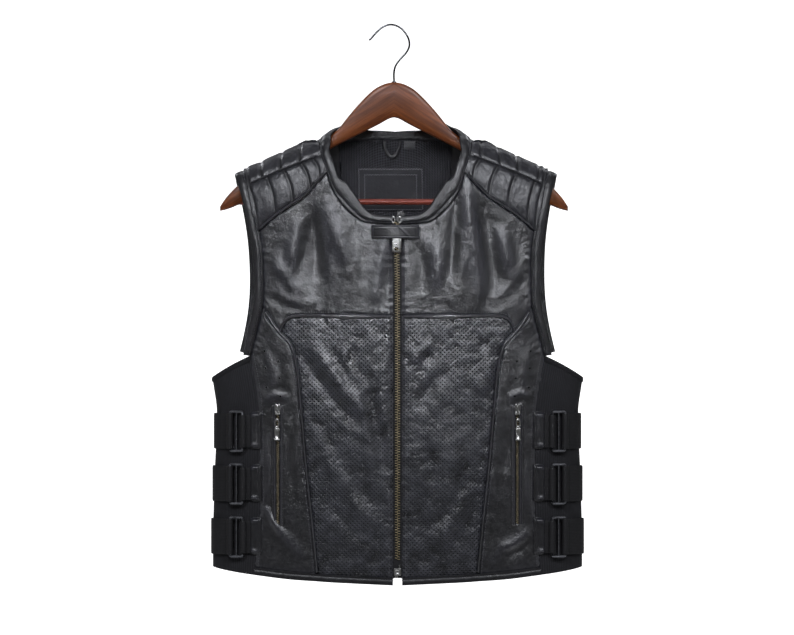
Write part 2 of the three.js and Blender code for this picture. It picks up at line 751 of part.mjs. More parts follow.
function addStretchSide(side, tag) {
  const angleOf = ([u, w]) => {
    const z = heightAt(u, w);
    return [sideAngle(u, z, w > 0), z];
  };
  const cols = STRETCH_COLUMNS;
  const frontEdge = sideFront.map(angleOf);
  const backEdge = route(SIDE_SEAM_BACK, STRETCH_ROWS).map(angleOf);
  const dip = (from, to, low) => {
    const edge = [];
    for (let k = 0; k <= cols; k += 1) {
      const t = k / cols;
      const level = from[1] + (to[1] - from[1]) * t;
      const sag = Math.sin(Math.PI * t);
      const z = level + (low - (from[1] + to[1]) / 2) * sag;
      edge.push([from[0] + (to[0] - from[0]) * t, z]);
    }
    return edge;
  };
  const hemFront = [frontEdge[0][0], HEM_FRONT[3].z];
  const hemBack = [backEdge[0][0], HEM_BACK[2].z];
  frontEdge[0] = hemFront;
  backEdge[0] = hemBack;
  const bottom = dip(hemFront, hemBack, HEM_AT_SIDE);
  const top = dip(frontEdge[STRETCH_ROWS], backEdge[STRETCH_ROWS], UNDERARM_LOW);
  const grid = patch(bottom, top, frontEdge, backEdge);
  const place = (lift) => grid.map((row) => row.map(([angle, z], j) => {
    const edge = j === 0 ? -STRETCH_GAP_ANGLE : j === cols ? STRETCH_GAP_ANGLE : 0;
    return onSide(side, angle + edge, z, lift);
  }));
  addMesh(`stretch_side_${tag}`, wall(place(STRETCH_FACE), place(STRETCH_FACE - STRETCH)), STRETCH_CLOTH);
}

// Bindings: a folded strip round an edge, thicker than the panels
function bindingRing(side, edge, seam) {
  const du = seam[0] - edge[0];
  const dw = seam[1] - edge[1];
  const length = Math.hypot(du, dw);
  const at = (share) => [edge[0] + du * share, edge[1] + dw * share];
  const nearSeam = 1 - SEAM_GAP / length;
  const section = [
    [nearSeam, BINDING_OUT * 0.5],
    [0.6, BINDING_OUT],
    [0.12, BINDING_OUT],
    [0, 0.2],
    [0, -1.4],
    [0.12, BINDING_IN],
    [0.6, BINDING_IN],
    [nearSeam, BINDING_IN],
  ];
  return section.map(([share, lift]) => {
    const [u, w] = at(share);
    return onBody(side * u, w, lift);
  });
}

function rowRoute(table, prefix, steps) {
  const rows = table.map((row) => ({ u: row[`${prefix}U`], z: row[`${prefix}Z`], back: row.back }));
  const flat = rows.map((row) => new THREE.Vector3(row.u, runAt(row.u, row.z, row.back), 0));
  const curve = new THREE.CatmullRomCurve3(flat, false, 'centripetal');
  const points = [];
  for (let k = 0; k <= steps; k += 1) points.push(curve.getPoint(k / steps));
  return points.map((p) => [p.x, p.y]);
}

function addBindings() {
  const seams = joined(joined(joined(neckFront, neckShoulder), neckTop), [...neckBack].reverse());
  const steps = seams.length - 1;
  const edges = seams.map((seam, k) => {
    const before = seams[Math.max(k - 1, 0)];
    const after = seams[Math.min(k + 1, steps)];
    const du = k === 0 || k === steps ? Math.sign(after[0] - before[0]) : after[0] - before[0];
    const dw = k === 0 || k === steps ? 0 : after[1] - before[1];
    const length = Math.hypot(du, dw);
    const width = smoothColumn(NECK_BINDING_WIDTHS, 'share', k / steps, 'width');
    return [seam[0] - (dw / length) * width, seam[1] + (du / length) * width];
  });
  const rings = [];
  for (let k = 0; k < steps; k += 1) rings.push(bindingRing(-1, edges[k], seams[k]));
  for (let k = steps; k >= 0; k -= 1) rings.push(bindingRing(1, edges[k], seams[k]));
  addMesh('neck_binding', ringSolid(rings), GRAIN_LEATHER);

  const armSteps = 23;
  const armEdges = rowRoute(ARMHOLE_ROWS, 'edge', armSteps);
  const armSeams = rowRoute(ARMHOLE_ROWS, 'seam', armSteps);
  for (const [side, tag] of [[-1, 'left'], [1, 'right']]) {
    const ringsHere = armEdges.map((edge, k) => bindingRing(side, edge, armSeams[k]));
    addMesh(`armhole_binding_${tag}`, ringSolid(ringsHere), GRAIN_LEATHER);
  }
}

// Hems: a folded strip below the hem seam
function addHems() {
  const hemWall = (side, seam, edge) => {
    const rows = [edge, edge, seam].map((line) => line.map((p) => [...p]));
    for (let j = 0; j < rows[1].length; j += 1) {
      rows[1][j][1] = (rows[0][j][1] + rows[2][j][1]) / 2;
    }
    return flatWall(side, inset(rows), HEM_OUT, -LEATHER - HEM_TURN);
  };
  const frontSeam = joined(hemSeamInner, hemSeamOuter);
  const frontEdge = frontSeam.map(([u, w]) => [u, w - HEM_STRIP]);
  for (const [side, tag] of [[-1, 'left'], [1, 'right']]) {
    addMesh(`hem_front_${tag}`, hemWall(side, frontSeam, frontEdge), GRAIN_LEATHER);
  }
  const backSeam = bothSides([hemSeamBack])[0];
  const backEdge = backSeam.map(([u, w]) => [u, w + HEM_STRIP]);
  addMesh('hem_back', hemWall(1, backSeam, backEdge), GRAIN_LEATHER);
}

// Piping: a low rounded bead over a seam
function bead(side, line, baseLift = 0) {
  const rings = line.map((point, k) => {
    const before = line[Math.max(k - 1, 0)];
    const after = line[Math.min(k + 1, line.length - 1)];
    const du = after[0] - before[0];
    const dw = after[1] - before[1];
    const length = Math.hypot(du, dw);
    const across = [-dw / length, du / length];
    const section = [
      [-1, PIPING_FOOT],
      [-0.7, PIPING_RISE * 0.8],
      [0, PIPING_RISE],
      [0.7, PIPING_RISE * 0.8],
      [1, PIPING_FOOT],
    ];
    return section.map(([share, lift]) => {
      const u = point[0] + across[0] * share * PIPING_HALF_WIDTH;
      const w = point[1] + across[1] * share * PIPING_HALF_WIDTH;
      return onBody(side * u, w, baseLift + lift);
    });
  });
  return ringSolid(rings);
}

function addPiping(side, tag) {
  const yokeLine = route(YOKE_SEAM, 22).slice(1);
  const princessLine = joined(route(PRINCESS_SEAM_LOW, 18), route(PRINCESS_SEAM_HIGH, 5));
  const frontPiping = fuse(bead(side, yokeLine), bead(side, princessLine.slice(1, -1)));
  addMesh(`piping_front_${tag}`, frontPiping, GRAIN_LEATHER);
  const shoulderLines = { lower: lowerShoulderFine, upper: upperShoulder, rear: rearShoulder };
  for (const [word, line] of Object.entries(shoulderLines)) {
    const piping = bead(side, line.slice(1, -1), SHOULDER_PIPING_LIFT);
    addMesh(`piping_shoulder_${word}_${tag}`, piping, GRAIN_LEATHER);
  }
}

// Centre zip: tape, teeth, slider body and bottom box in one strip
function stripOnFront(centre, section, heights) {
  const rings = heights.map((z) => section(z).map(([across, lift]) => {
    const u = centre + across;
    return onBody(u, runAt(u, z, false), lift);
  }));
  return ringSolid(rings);
}

function levels(top, bottom, steps) {
  const list = [];
  for (let k = 0; k <= steps; k += 1) list.push(top + ((bottom - top) * k) / steps);
  return list;
}

function blockOnFront(centre, halfWidth, low, high, top, bottom, steps) {
  const section = () => [
    [-halfWidth, low],
    [-halfWidth, high - 0.8],
    [-halfWidth + 0.8, high],
    [halfWidth - 0.8, high],
    [halfWidth, high - 0.8],
    [halfWidth, low],
  ];
  return stripOnFront(centre, section, levels(top, bottom, steps));
}

function addCentreZip() {
  const section = () => [
    [-TAPE_HALF, -1.5],
    [-TAPE_HALF, -0.7],
    [-TEETH_HALF, -0.7],
    [-TEETH_HALF + 0.4, TEETH_RISE],
    [TEETH_HALF - 0.4, TEETH_RISE],
    [TEETH_HALF, -0.7],
    [TAPE_HALF, -0.7],
    [TAPE_HALF, -1.5],
  ];
  const tape = stripOnFront(0, section, levels(ZIP_TOP, ZIP_BOTTOM, 14));
  const slider = blockOnFront(0, SLIDER.halfWidth, -1.2, SLIDER.rise, SLIDER.top, SLIDER.bottom, 1);
  const box = blockOnFront(
    0, BOTTOM_BOX.halfWidth, -1.2, BOTTOM_BOX.rise, BOTTOM_BOX.top, BOTTOM_BOX.bottom, 1,
  );
  addMesh('centre_zip', fuse(tape, slider, box), ANTIQUE_BRASS);

  const tabMiddle = (NECK_TAB.left + NECK_TAB.right) / 2;
  const tabHalf = (NECK_TAB.right - NECK_TAB.left) / 2;
  const steps = levels(-tabHalf, tabHalf, 8);
  const outer = [];
  const inner = [];
  for (const z of levels(NECK_TAB.bottom, NECK_TAB.top, 3)) {
    const row = (face) => steps.map((a) => (
      onBody(tabMiddle + a, runAt(tabMiddle + a, z, false), tabLift(a / tabHalf, face))
    ));
    outer.push(row(1));
    inner.push(row(0));
  }
  addMesh('neck_tab', wall(outer, inner), GRAIN_LEATHER);
}

// The tab arches over the zip and lies on the panels at its two ends
const TAB_ARCH_POWER = 0.7;
function tabLift(share, face) {
  const thick = NECK_TAB.high - NECK_TAB.low;
  const arch = Math.pow(Math.cos((share * Math.PI) / 2), TAB_ARCH_POWER);
  const low = SEAT_GAP + (NECK_TAB.low - SEAT_GAP) * arch;
  return low + thick * face;
}

// Pocket zip on a side front panel, with its welt; its slider body stands up from the teeth
function addPocket(side, tag) {
  const sliderTop = POCKET_TOP - POCKET_SLIDER.below;
  const sliderBottom = sliderTop - POCKET_SLIDER.length;
  const section = (z) => {
    const inSlider = z < sliderTop - SLIDER_BEVEL / 2 && z > sliderBottom + SLIDER_BEVEL / 2;
    const [foot, crown] = inSlider ? POCKET_SLIDER_PROFILE : POCKET_TEETH_PROFILE;
    const half = [[POCKET_HALF, 0.35], [POCKET_HALF, 1.3], [POCKET_WELT_EDGE, 1.5], foot, crown];
    return [...half.map(([across, lift]) => [-across, lift]), ...half.reverse()];
  };
  const heights = [
    POCKET_TOP,
    sliderTop,
    sliderTop - SLIDER_BEVEL,
    sliderBottom + SLIDER_BEVEL,
    ...levels(sliderBottom, POCKET_BOTTOM, 5),
  ];
  addMesh(`pocket_zip_${tag}`, stripOnFront(side * POCKET_U, section, heights), ANTIQUE_BRASS);
}

// Zip pulls: a flat drop with a window near its foot, hung from its pivot
function pullGeometry(pull, windowHeight) {
  const outline = new THREE.Shape();
  const r = pull.halfWidth * 0.35;
  const w = pull.halfWidth;
  const low = -pull.length;
  outline.moveTo(-w + r, low);
  outline.lineTo(w - r, low);
  outline.lineTo(w, low + r);
  outline.lineTo(w, -r);
  outline.lineTo(w - r, 0);
  outline.lineTo(-w + r, 0);
  outline.lineTo(-w, -r);
  outline.lineTo(-w, low + r);
  outline.closePath();
  const hole = new THREE.Path();
  const margin = w * 0.4;
  hole.moveTo(-w + margin, low + margin);
  hole.lineTo(-w + margin, low + margin + windowHeight);
  hole.lineTo(w - margin, low + margin + windowHeight);
  hole.lineTo(w - margin, low + margin);
  hole.closePath();
  outline.holes.push(hole);
  const plate = new THREE.ExtrudeGeometry(outline, { depth: pull.thick, bevelEnabled: false });
  plate.translate(0, 0, -pull.thick / 2);
  plate.rotateX(QUARTER_TURN);
  return plate;
}

function placePull(name, pull, u, windowHeight) {
  const geometry = pullGeometry(pull, windowHeight);
  const anchor = onBody(u, runAt(u, pull.z, false), pull.lift + pull.thick / 2);
  geometry.translate(anchor.x, anchor.y, anchor.z);
  const merged = geometryOf(solidOf(geometry));
  addMesh(name, merged, NICKEL);
}

// Side straps: elastic rolled round a buckle bar, and a leather tab on the other bar
const STRAP_LIFTS = { front: 2.3, back: 0.7 };
const TAB_LIFTS = { front: 0.6, back: 2.6 };
const TAB_THICK = 2.0;
const ROLL_FACETS = 10;
const BUCKLE_CORNER = 3;

function strapFrame(side, z) {
  const angle = sideAngle(BUCKLE_U, z, false);
  const origin = onSide(side, angle, z, BUCKLE_LIFT);
  const ahead = onSide(side, angle - 0.02, z, BUCKLE_LIFT);
  const across = ahead.sub(origin).setZ(0).normalize();
  const up = new THREE.Vector3(0, 0, 1);
  const out = new THREE.Vector3(0, -1, 0);
  out.addScaledVector(across, -out.dot(across)).normalize();
  return new THREE.Matrix4().makeBasis(across, out, up).setPosition(origin);
}

function solidInFrame(geometry, frame) {
  geometry.applyMatrix4(frame);
  const merged = mergeVertices(stripped(geometry), 1e-4);
  const position = merged.attributes.position;
  const points = [];
  for (let k = 0; k < position.count; k += 1) {
    points.push(new THREE.Vector3().fromBufferAttribute(position, k));
  }
  const triangles = [];
  for (let k = 0; k < merged.index.count; k += 3) {
    triangles.push([merged.index.getX(k), merged.index.getX(k + 1), merged.index.getX(k + 2)]);
  }
  return closedGeometry(points, triangles);
}

function stripped(geometry) {
  const bare = geometry.clone();
  bare.deleteAttribute('normal');
  bare.deleteAttribute('uv');
  return bare;
}

function rollGeometry(height) {
  const ring = new THREE.Shape();
  const hole = new THREE.Path();
  for (let k = 0; k < ROLL_FACETS; k += 1) {
    const angle = (2 * Math.PI * k) / ROLL_FACETS;
    const x = Math.cos(angle);
    const y = Math.sin(angle);
    if (k === 0) ring.moveTo(ROLL_OUTER * x, ROLL_OUTER * y);
    else ring.lineTo(ROLL_OUTER * x, ROLL_OUTER * y);
    if (k === 0) hole.moveTo(ROLL_INNER * x, -ROLL_INNER * y);
    else hole.lineTo(ROLL_INNER * x, -ROLL_INNER * y);
  }
  ring.closePath();
  hole.closePath();
  ring.holes.push(hole);
  const roll = new THREE.ExtrudeGeometry(ring, { depth: height, bevelEnabled: false });
  roll.translate(0, 0, -height / 2);
  return roll;
}

function buckleGeometry() {
  const w = BUCKLE_WIDTH / 2;
  const h = BUCKLE_HEIGHT / 2;
  const box = (path, x, y, r, reverse) => {
    const points = [
      [x - r, -y], [x, -y + r], [x, y - r], [x - r, y], [-x + r, y], [-x, y - r], [-x, -y + r], [-x + r, -y],
    ];
    if (reverse) points.reverse();
    points.forEach(([a, b], k) => (k === 0 ? path.moveTo(a, b) : path.lineTo(a, b)));
    path.closePath();
    return path;
  };
  const frame = box(new THREE.Shape(), w, h, BUCKLE_CORNER, false);
  frame.holes.push(box(new THREE.Path(), w - BUCKLE_BAR, h - BUCKLE_BAR, 1, true));
  const ring = new THREE.ExtrudeGeometry(frame, { depth: BUCKLE_BAR, bevelEnabled: false });
  ring.translate(0, 0, -BUCKLE_BAR / 2);
  ring.rotateX(QUARTER_TURN);
  return ring;
}

function strapBand(side, z, fromAngle, toAngle, lifts, height, steps, thick) {
  const outer = [];
  const inner = [];
  for (let k = 0; k <= steps; k += 1) {
    const t = k / steps;
    const angle = fromAngle + (toAngle - fromAngle) * t;
    const lift = lifts.front + (lifts.back - lifts.front) * Math.min(t * 2, 1);
    const ends = [z - height / 2, z, z + height / 2];
    outer.push(ends.map((level) => onSide(side, angle, level, lift + thick)));
    inner.push(ends.map((level) => onSide(side, angle, level, lift)));
  }
  return wall(outer, inner);
}

function addStrap(side, tag, index) {
  const z = STRAPS[index].z;
  const name = `${tag}_${index + 1}`;
  const frame = strapFrame(side, z);
  addMesh(`buckle_${name}`, solidInFrame(buckleGeometry(), frame), GUNMETAL);

  const barOffset = BUCKLE_WIDTH / 2 - BUCKLE_BAR / 2;
  const roll = (offset, height) => solidInFrame(rollGeometry(height).translate(offset, 0, 0), frame);
  const outerRoll = roll(barOffset, STRAP_HEIGHT - 1);
  const start = sideAngle(STRAP_FRONT_U + 3.5, z, false);
  const end = sideAngle(STRAP_BACK_U, z, true);
  const band = strapBand(side, z, start, end, STRAP_LIFTS, STRAP_HEIGHT, 12, STRAP_THICK);
  addMesh(`strap_${name}`, fuse(band, outerRoll), ELASTIC);

  const innerRoll = roll(-barOffset, STRAP_HEIGHT - 6);
  const tabStart = sideAngle(TAB_INNER_U, z, false);
  const tabEnd = sideAngle(BUCKLE_U - barOffset - 1.5, z, false);
  const tab = strapBand(side, z, tabStart, tabEnd, TAB_LIFTS, STRAP_HEIGHT - 4, 3, TAB_THICK);
  addMesh(`buckle_tab_${name}`, fuse(tab, innerRoll), GRAIN_LEATHER);
}

// Inside the back neck: hang loop, size tab and label patch, all bare
const LABEL_PATCH = { left: -50, right: 36, top: -184, bottom: -240, thick: 1.2 };
const SIZE_TAB = { left: 11, right: 26, top: -149, bottom: -160, thick: 0.6 };
const HANG_LOOP = [
  { u: -15, z: -149 },
  { u: -13, z: -160 },
  { u: -7.5, z: -169 },
  { u: -1.5, z: -169 },
  { u: 4, z: -160 },
  { u: 6, z: -149 },
];
const LOOP_STEPS = 12;
const LOOP_HALF_WIDTH = 2.6;
const LOOP_THICK = 1.8;

function insidePatch(name, size, lift, material) {
  const columns = levels(size.left, size.right, 4);
  const rowsOf = (depth) => levels(size.bottom, size.top, 3).map((z) => (
    columns.map((u) => onBody(u, runAt(u, z, true), depth))
  ));
  addMesh(name, wall(rowsOf(lift), rowsOf(lift - size.thick)), material);
}

function addInside() {
  const liningFace = -LEATHER - LINING_GAP - LINING;
  const seat = liningFace - SEAT_GAP;
  insidePatch('label_patch', LABEL_PATCH, seat, GRAIN_LEATHER);
  insidePatch('size_tab', SIZE_TAB, seat, STRETCH_CLOTH);
  const curve = new THREE.CatmullRomCurve3(HANG_LOOP.map((row) => new THREE.Vector3(row.u, row.z, 0)));
  const rings = curve.getSpacedPoints(LOOP_STEPS).map((p, k, all) => {
    const ahead = all[Math.min(k + 1, LOOP_STEPS)].clone();
    const next = ahead.sub(all[Math.max(k - 1, 0)]).normalize();
    const across = [-next.y, next.x];
    const corners = [
      [-LOOP_HALF_WIDTH, 0],
      [LOOP_HALF_WIDTH, 0],
      [LOOP_HALF_WIDTH, -LOOP_THICK],
      [-LOOP_HALF_WIDTH, -LOOP_THICK],
    ];
    return corners.map(([a, lift]) => {
      const u = p.x + across[0] * a;
      const z = p.y + across[1] * a;
      return onBody(u, runAt(u, z, true), seat + lift);
    });
  });
  addMesh('hang_loop', ringSolid(rings), STRETCH_CLOTH);
}

// Hanger: wood body with a socket for the bar and a hole for the hook
function hangerRing(x, top, bottom) {
  const middle = (top + bottom) / 2;
  const halfHeight = (top - bottom) / 2;
  const ring = [];
  for (let k = 0; k < HANGER_RING; k += 1) {
    const angle = (2 * Math.PI * k) / HANGER_RING;
    const c = Math.cos(angle);
    const s = Math.sin(angle);
    const y = Math.sign(c) * Math.pow(Math.abs(c), HANGER_ROUND_Y) * (HANGER_THICK / 2);
    const z = Math.sign(s) * Math.pow(Math.abs(s), HANGER_ROUND_Z) * halfHeight;
    ring.push(new THREE.Vector3(HANGER_X + x, y, middle + z));
  }
  return ring;
}

function cylinderBetween(radius, from, to, sides) {
  const cylinder = new THREE.CylinderGeometry(radius, radius, from.distanceTo(to), sides);
  const direction = to.clone().sub(from).normalize();
  cylinder.applyQuaternion(
    new THREE.Quaternion().setFromUnitVectors(new THREE.Vector3(0, 1, 0), direction),
  );
  const middle = from.clone().add(to).multiplyScalar(0.5);
  cylinder.translate(middle.x, middle.y, middle.z);
  return cylinder;
}

function addHanger() {
  const halves = [...HANGER_ARM.slice(1).reverse().map((row) => ({ ...row, x: -row.x })), ...HANGER_ARM];
  const wood = ringSolid(halves.map((row) => hangerRing(row.x, row.top, row.bottom)));
  const barAt = (reach) => new THREE.Vector3(HANGER_X + reach, 0, BAR_Z);
  const socket = cylinderBetween(
    BAR_RADIUS + SOCKET_CLEAR,
    barAt(-BAR_REACH - SOCKET_CLEAR),
    barAt(BAR_REACH + SOCKET_CLEAR),
    12,
  );
  const drill = cylinderBetween(
    WIRE_RADIUS + SOCKET_CLEAR,
    new THREE.Vector3(HANGER_X, 0, HOOK_SOCKET.top),
    new THREE.Vector3(HANGER_X, 0, HOOK_SOCKET.bottom),
    10,
  );
  const body = solidOf(wood).subtract(solidOf(socket)).subtract(solidOf(drill));
  addMesh('hanger_wood', geometryOf(body), MAHOGANY);
  addMesh('hanger_bar', cylinderBetween(BAR_RADIUS, barAt(-BAR_REACH), barAt(BAR_REACH), 12), REDWOOD);

  const path = new THREE.CatmullRomCurve3(HOOK_ROUTE.map((row) => new THREE.Vector3(row.x, 0, row.z)));
  const section = new THREE.Shape();
  const sides = 8;
  for (let k = 0; k < sides; k += 1) {
    const angle = (2 * Math.PI * k) / sides;
    const x = WIRE_RADIUS * Math.cos(angle);
    const y = WIRE_RADIUS * Math.sin(angle);
    if (k === 0) section.moveTo(x, y);
    else section.lineTo(x, y);
  }
  section.closePath();
  const wire = new THREE.ExtrudeGeometry(section, { steps: 32, bevelEnabled: false, extrudePath: path });
  addMesh('hook', wire, NICKEL);
}

addHanger();
addBack();
addBindings();
addHems();
addCentreZip();
addInside();
placePull('centre_pull', MAIN_PULL, 0, 5);
for (const [side, tag] of [[-1, 'left'], [1, 'right']]) {
  addFrontPanels(side, tag);
  addShoulder(side, tag);
  addStretchSide(side, tag);
  addPiping(side, tag);
  addPocket(side, tag);
  placePull(`pocket_pull_${tag}`, POCKET_PULL, side * POCKET_U, 4);
  STRAPS.forEach((_, index) => addStrap(side, tag, index));
}

export default vest;
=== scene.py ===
"""A black leather vest on a wooden hanger: its cloth, trimmings, metal and studio."""

import json
import logging
import math
from dataclasses import dataclass, field
from enum import Enum
from typing import Iterable, Optional, Protocol, Sequence, Union

import bpy
import numpy as np
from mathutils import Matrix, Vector, noise

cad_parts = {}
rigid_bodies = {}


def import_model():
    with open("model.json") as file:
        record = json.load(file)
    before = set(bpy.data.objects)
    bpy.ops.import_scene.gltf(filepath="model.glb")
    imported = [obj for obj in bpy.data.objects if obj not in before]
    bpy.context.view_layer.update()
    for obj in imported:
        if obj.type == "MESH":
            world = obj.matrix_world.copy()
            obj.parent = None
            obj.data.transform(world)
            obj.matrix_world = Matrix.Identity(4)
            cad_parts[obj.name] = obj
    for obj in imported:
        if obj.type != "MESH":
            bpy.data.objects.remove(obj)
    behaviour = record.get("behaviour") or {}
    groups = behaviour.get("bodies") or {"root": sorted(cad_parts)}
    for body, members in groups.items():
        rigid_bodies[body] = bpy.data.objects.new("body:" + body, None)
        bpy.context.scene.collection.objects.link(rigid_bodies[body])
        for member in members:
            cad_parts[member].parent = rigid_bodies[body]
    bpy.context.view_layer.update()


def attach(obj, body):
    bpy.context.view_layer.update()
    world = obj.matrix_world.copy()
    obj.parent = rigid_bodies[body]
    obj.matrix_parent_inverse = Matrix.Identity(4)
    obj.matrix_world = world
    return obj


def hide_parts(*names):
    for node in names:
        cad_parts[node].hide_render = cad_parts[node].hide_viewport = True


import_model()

MM = 0.001
QUARTER_TURN = math.pi / 2
WHITE = (1.0, 1.0, 1.0, 1.0)
UP = np.array([0.0, 0.0, 1.0])
LOG = logging.getLogger("vest")

Object = bpy.types.Object
Material = bpy.types.Material
Socket = bpy.types.NodeSocket
Value = Union[float, str, Socket]
Grid = np.ndarray
Frames = tuple[Grid, Grid, Grid, Grid]
Rows = tuple[tuple[float, ...], ...]
Edge = tuple[float, float]


class Sheet(Enum):
    """The half of the body surface that a point lies on."""

    FRONT = -1.0
    BACK = 1.0


class Side(Enum):
    """A side of the vest, as it shows in the picture."""

    LEFT = -1
    RIGHT = 1

    @property
    def tag(self) -> str:
        """The side's word in a piece's name."""
        return self.name.lower()


class Hold(Enum):
    """How a sheet of cloth is held."""

    HUNG = "hung"
    STRETCHED = "stretched"


# Numbers along tables and curves


def smooth_column(rows: Rows, place: Grid, column: int) -> Grid:
    """Read a column of a table smoothly.

    Args:
        rows: Rows of numbers whose first number is the key.
        place: The keys to read at.
        column: The column to read.

    Returns:
        The values, held at the table's ends.
    """
    table = np.array(sorted(rows), dtype=float)
    keys, values = table[:, 0], table[:, column]
    place = np.clip(place, keys[0], keys[-1])
    k = np.clip(np.searchsorted(keys, place, side="left") - 1, 0, len(keys) - 2)
    slopes = np.empty(len(keys))
    slopes[1:-1] = (values[2:] - values[:-2]) / (keys[2:] - keys[:-2])
    slopes[0] = (values[1] - values[0]) / (keys[1] - keys[0])
    slopes[-1] = (values[-1] - values[-2]) / (keys[-1] - keys[-2])
    span = keys[k + 1] - keys[k]
    t = (place - keys[k]) / span
    h = (1 - t) ** 2
    return (
        h * (1 + 2 * t) * values[k]
        + h * t * slopes[k] * span
        + t * t * (3 - 2 * t) * values[k + 1]
        - t * t * (1 - t) * slopes[k + 1] * span
    )


def spline(points: Grid, per_span: int = 24) -> Grid:
    """Run a centripetal curve through points.

    Args:
        points: The points, one a row.
        per_span: How many samples each span gets.

    Returns:
        Points close together along the curve.
    """
    padded = np.vstack([2 * points[0] - points[1], points, 2 * points[-1] - points[-2]])
    out = []
    for a, b, c, d in zip(padded, padded[1:], padded[2:], padded[3:]):
        gaps = [max(float(np.sum((q - p) ** 2)) ** 0.25, 1e-4) for p, q in ((a, b), (b, c), (c, d))]
        first = (b - a) / gaps[0] - (c - a) / (gaps[0] + gaps[1]) + (c - b) / gaps[1]
        last = (c - b) / gaps[1] - (d - b) / (gaps[1] + gaps[2]) + (d - c) / gaps[2]
        first, last = first * gaps[1], last * gaps[1]
        t = np.linspace(0, 1, per_span, endpoint=False)[:, None]
        square, cube = t * t, t * t * t
        out.append(
            b + first * t + (3 * (c - b) - 2 * first - last) * square + (2 * (b - c) + first + last) * cube
        )
    return np.vstack([*out, points[-1:]])


def along(points: Grid) -> Grid:
    """Distance run along a line of points."""
    steps = np.linalg.norm(np.diff(points, axis=0), axis=1)
    return np.concatenate([[0.0], np.cumsum(steps)])


def resample(points: Grid, steps: int) -> Grid:
    """Points at even distances along a line.

    Args:
        points: The line's points, one a row.
        steps: How many even steps it gets.

    Returns:
        The new points.
    """
    run = along(points)
    at = np.linspace(0, run[-1], steps + 1)
    return np.stack([np.interp(at, run, points[:, k]) for k in range(points.shape[1])], axis=1)


def joined(*lines: Grid) -> Grid:
    """Lines set end to end, each shared point once."""
    return np.vstack([lines[0], *[line[1:] for line in lines[1:]]])


def unit(vectors: Grid) -> Grid:
    """Vectors brought to length one."""
    return vectors / np.linalg.norm(vectors, axis=-1, keepdims=True)


def ways(line: Grid) -> Grid:
    """Which way a line runs at each of its points."""
    return unit(np.gradient(line, axis=0))


def leftward(way: Grid) -> Grid:
    """Flat ways turned a quarter to the left."""
    return np.stack([-way[:, 1], way[:, 0]], axis=1)


def straight(start: Grid, end: Grid, steps: int) -> Grid:
    """Points at even steps between two points."""
    t = np.linspace(0, 1, steps + 1)[:, None]
    return start * (1 - t) + end * t


# The body surface


@dataclass(frozen=True)
class Fold:
    """A broad soft fold in the front: place, half sizes, rise and slant in mm."""

    u: float
    z: float
    half_length: float
    half_width: float
    rise: float
    slant: float


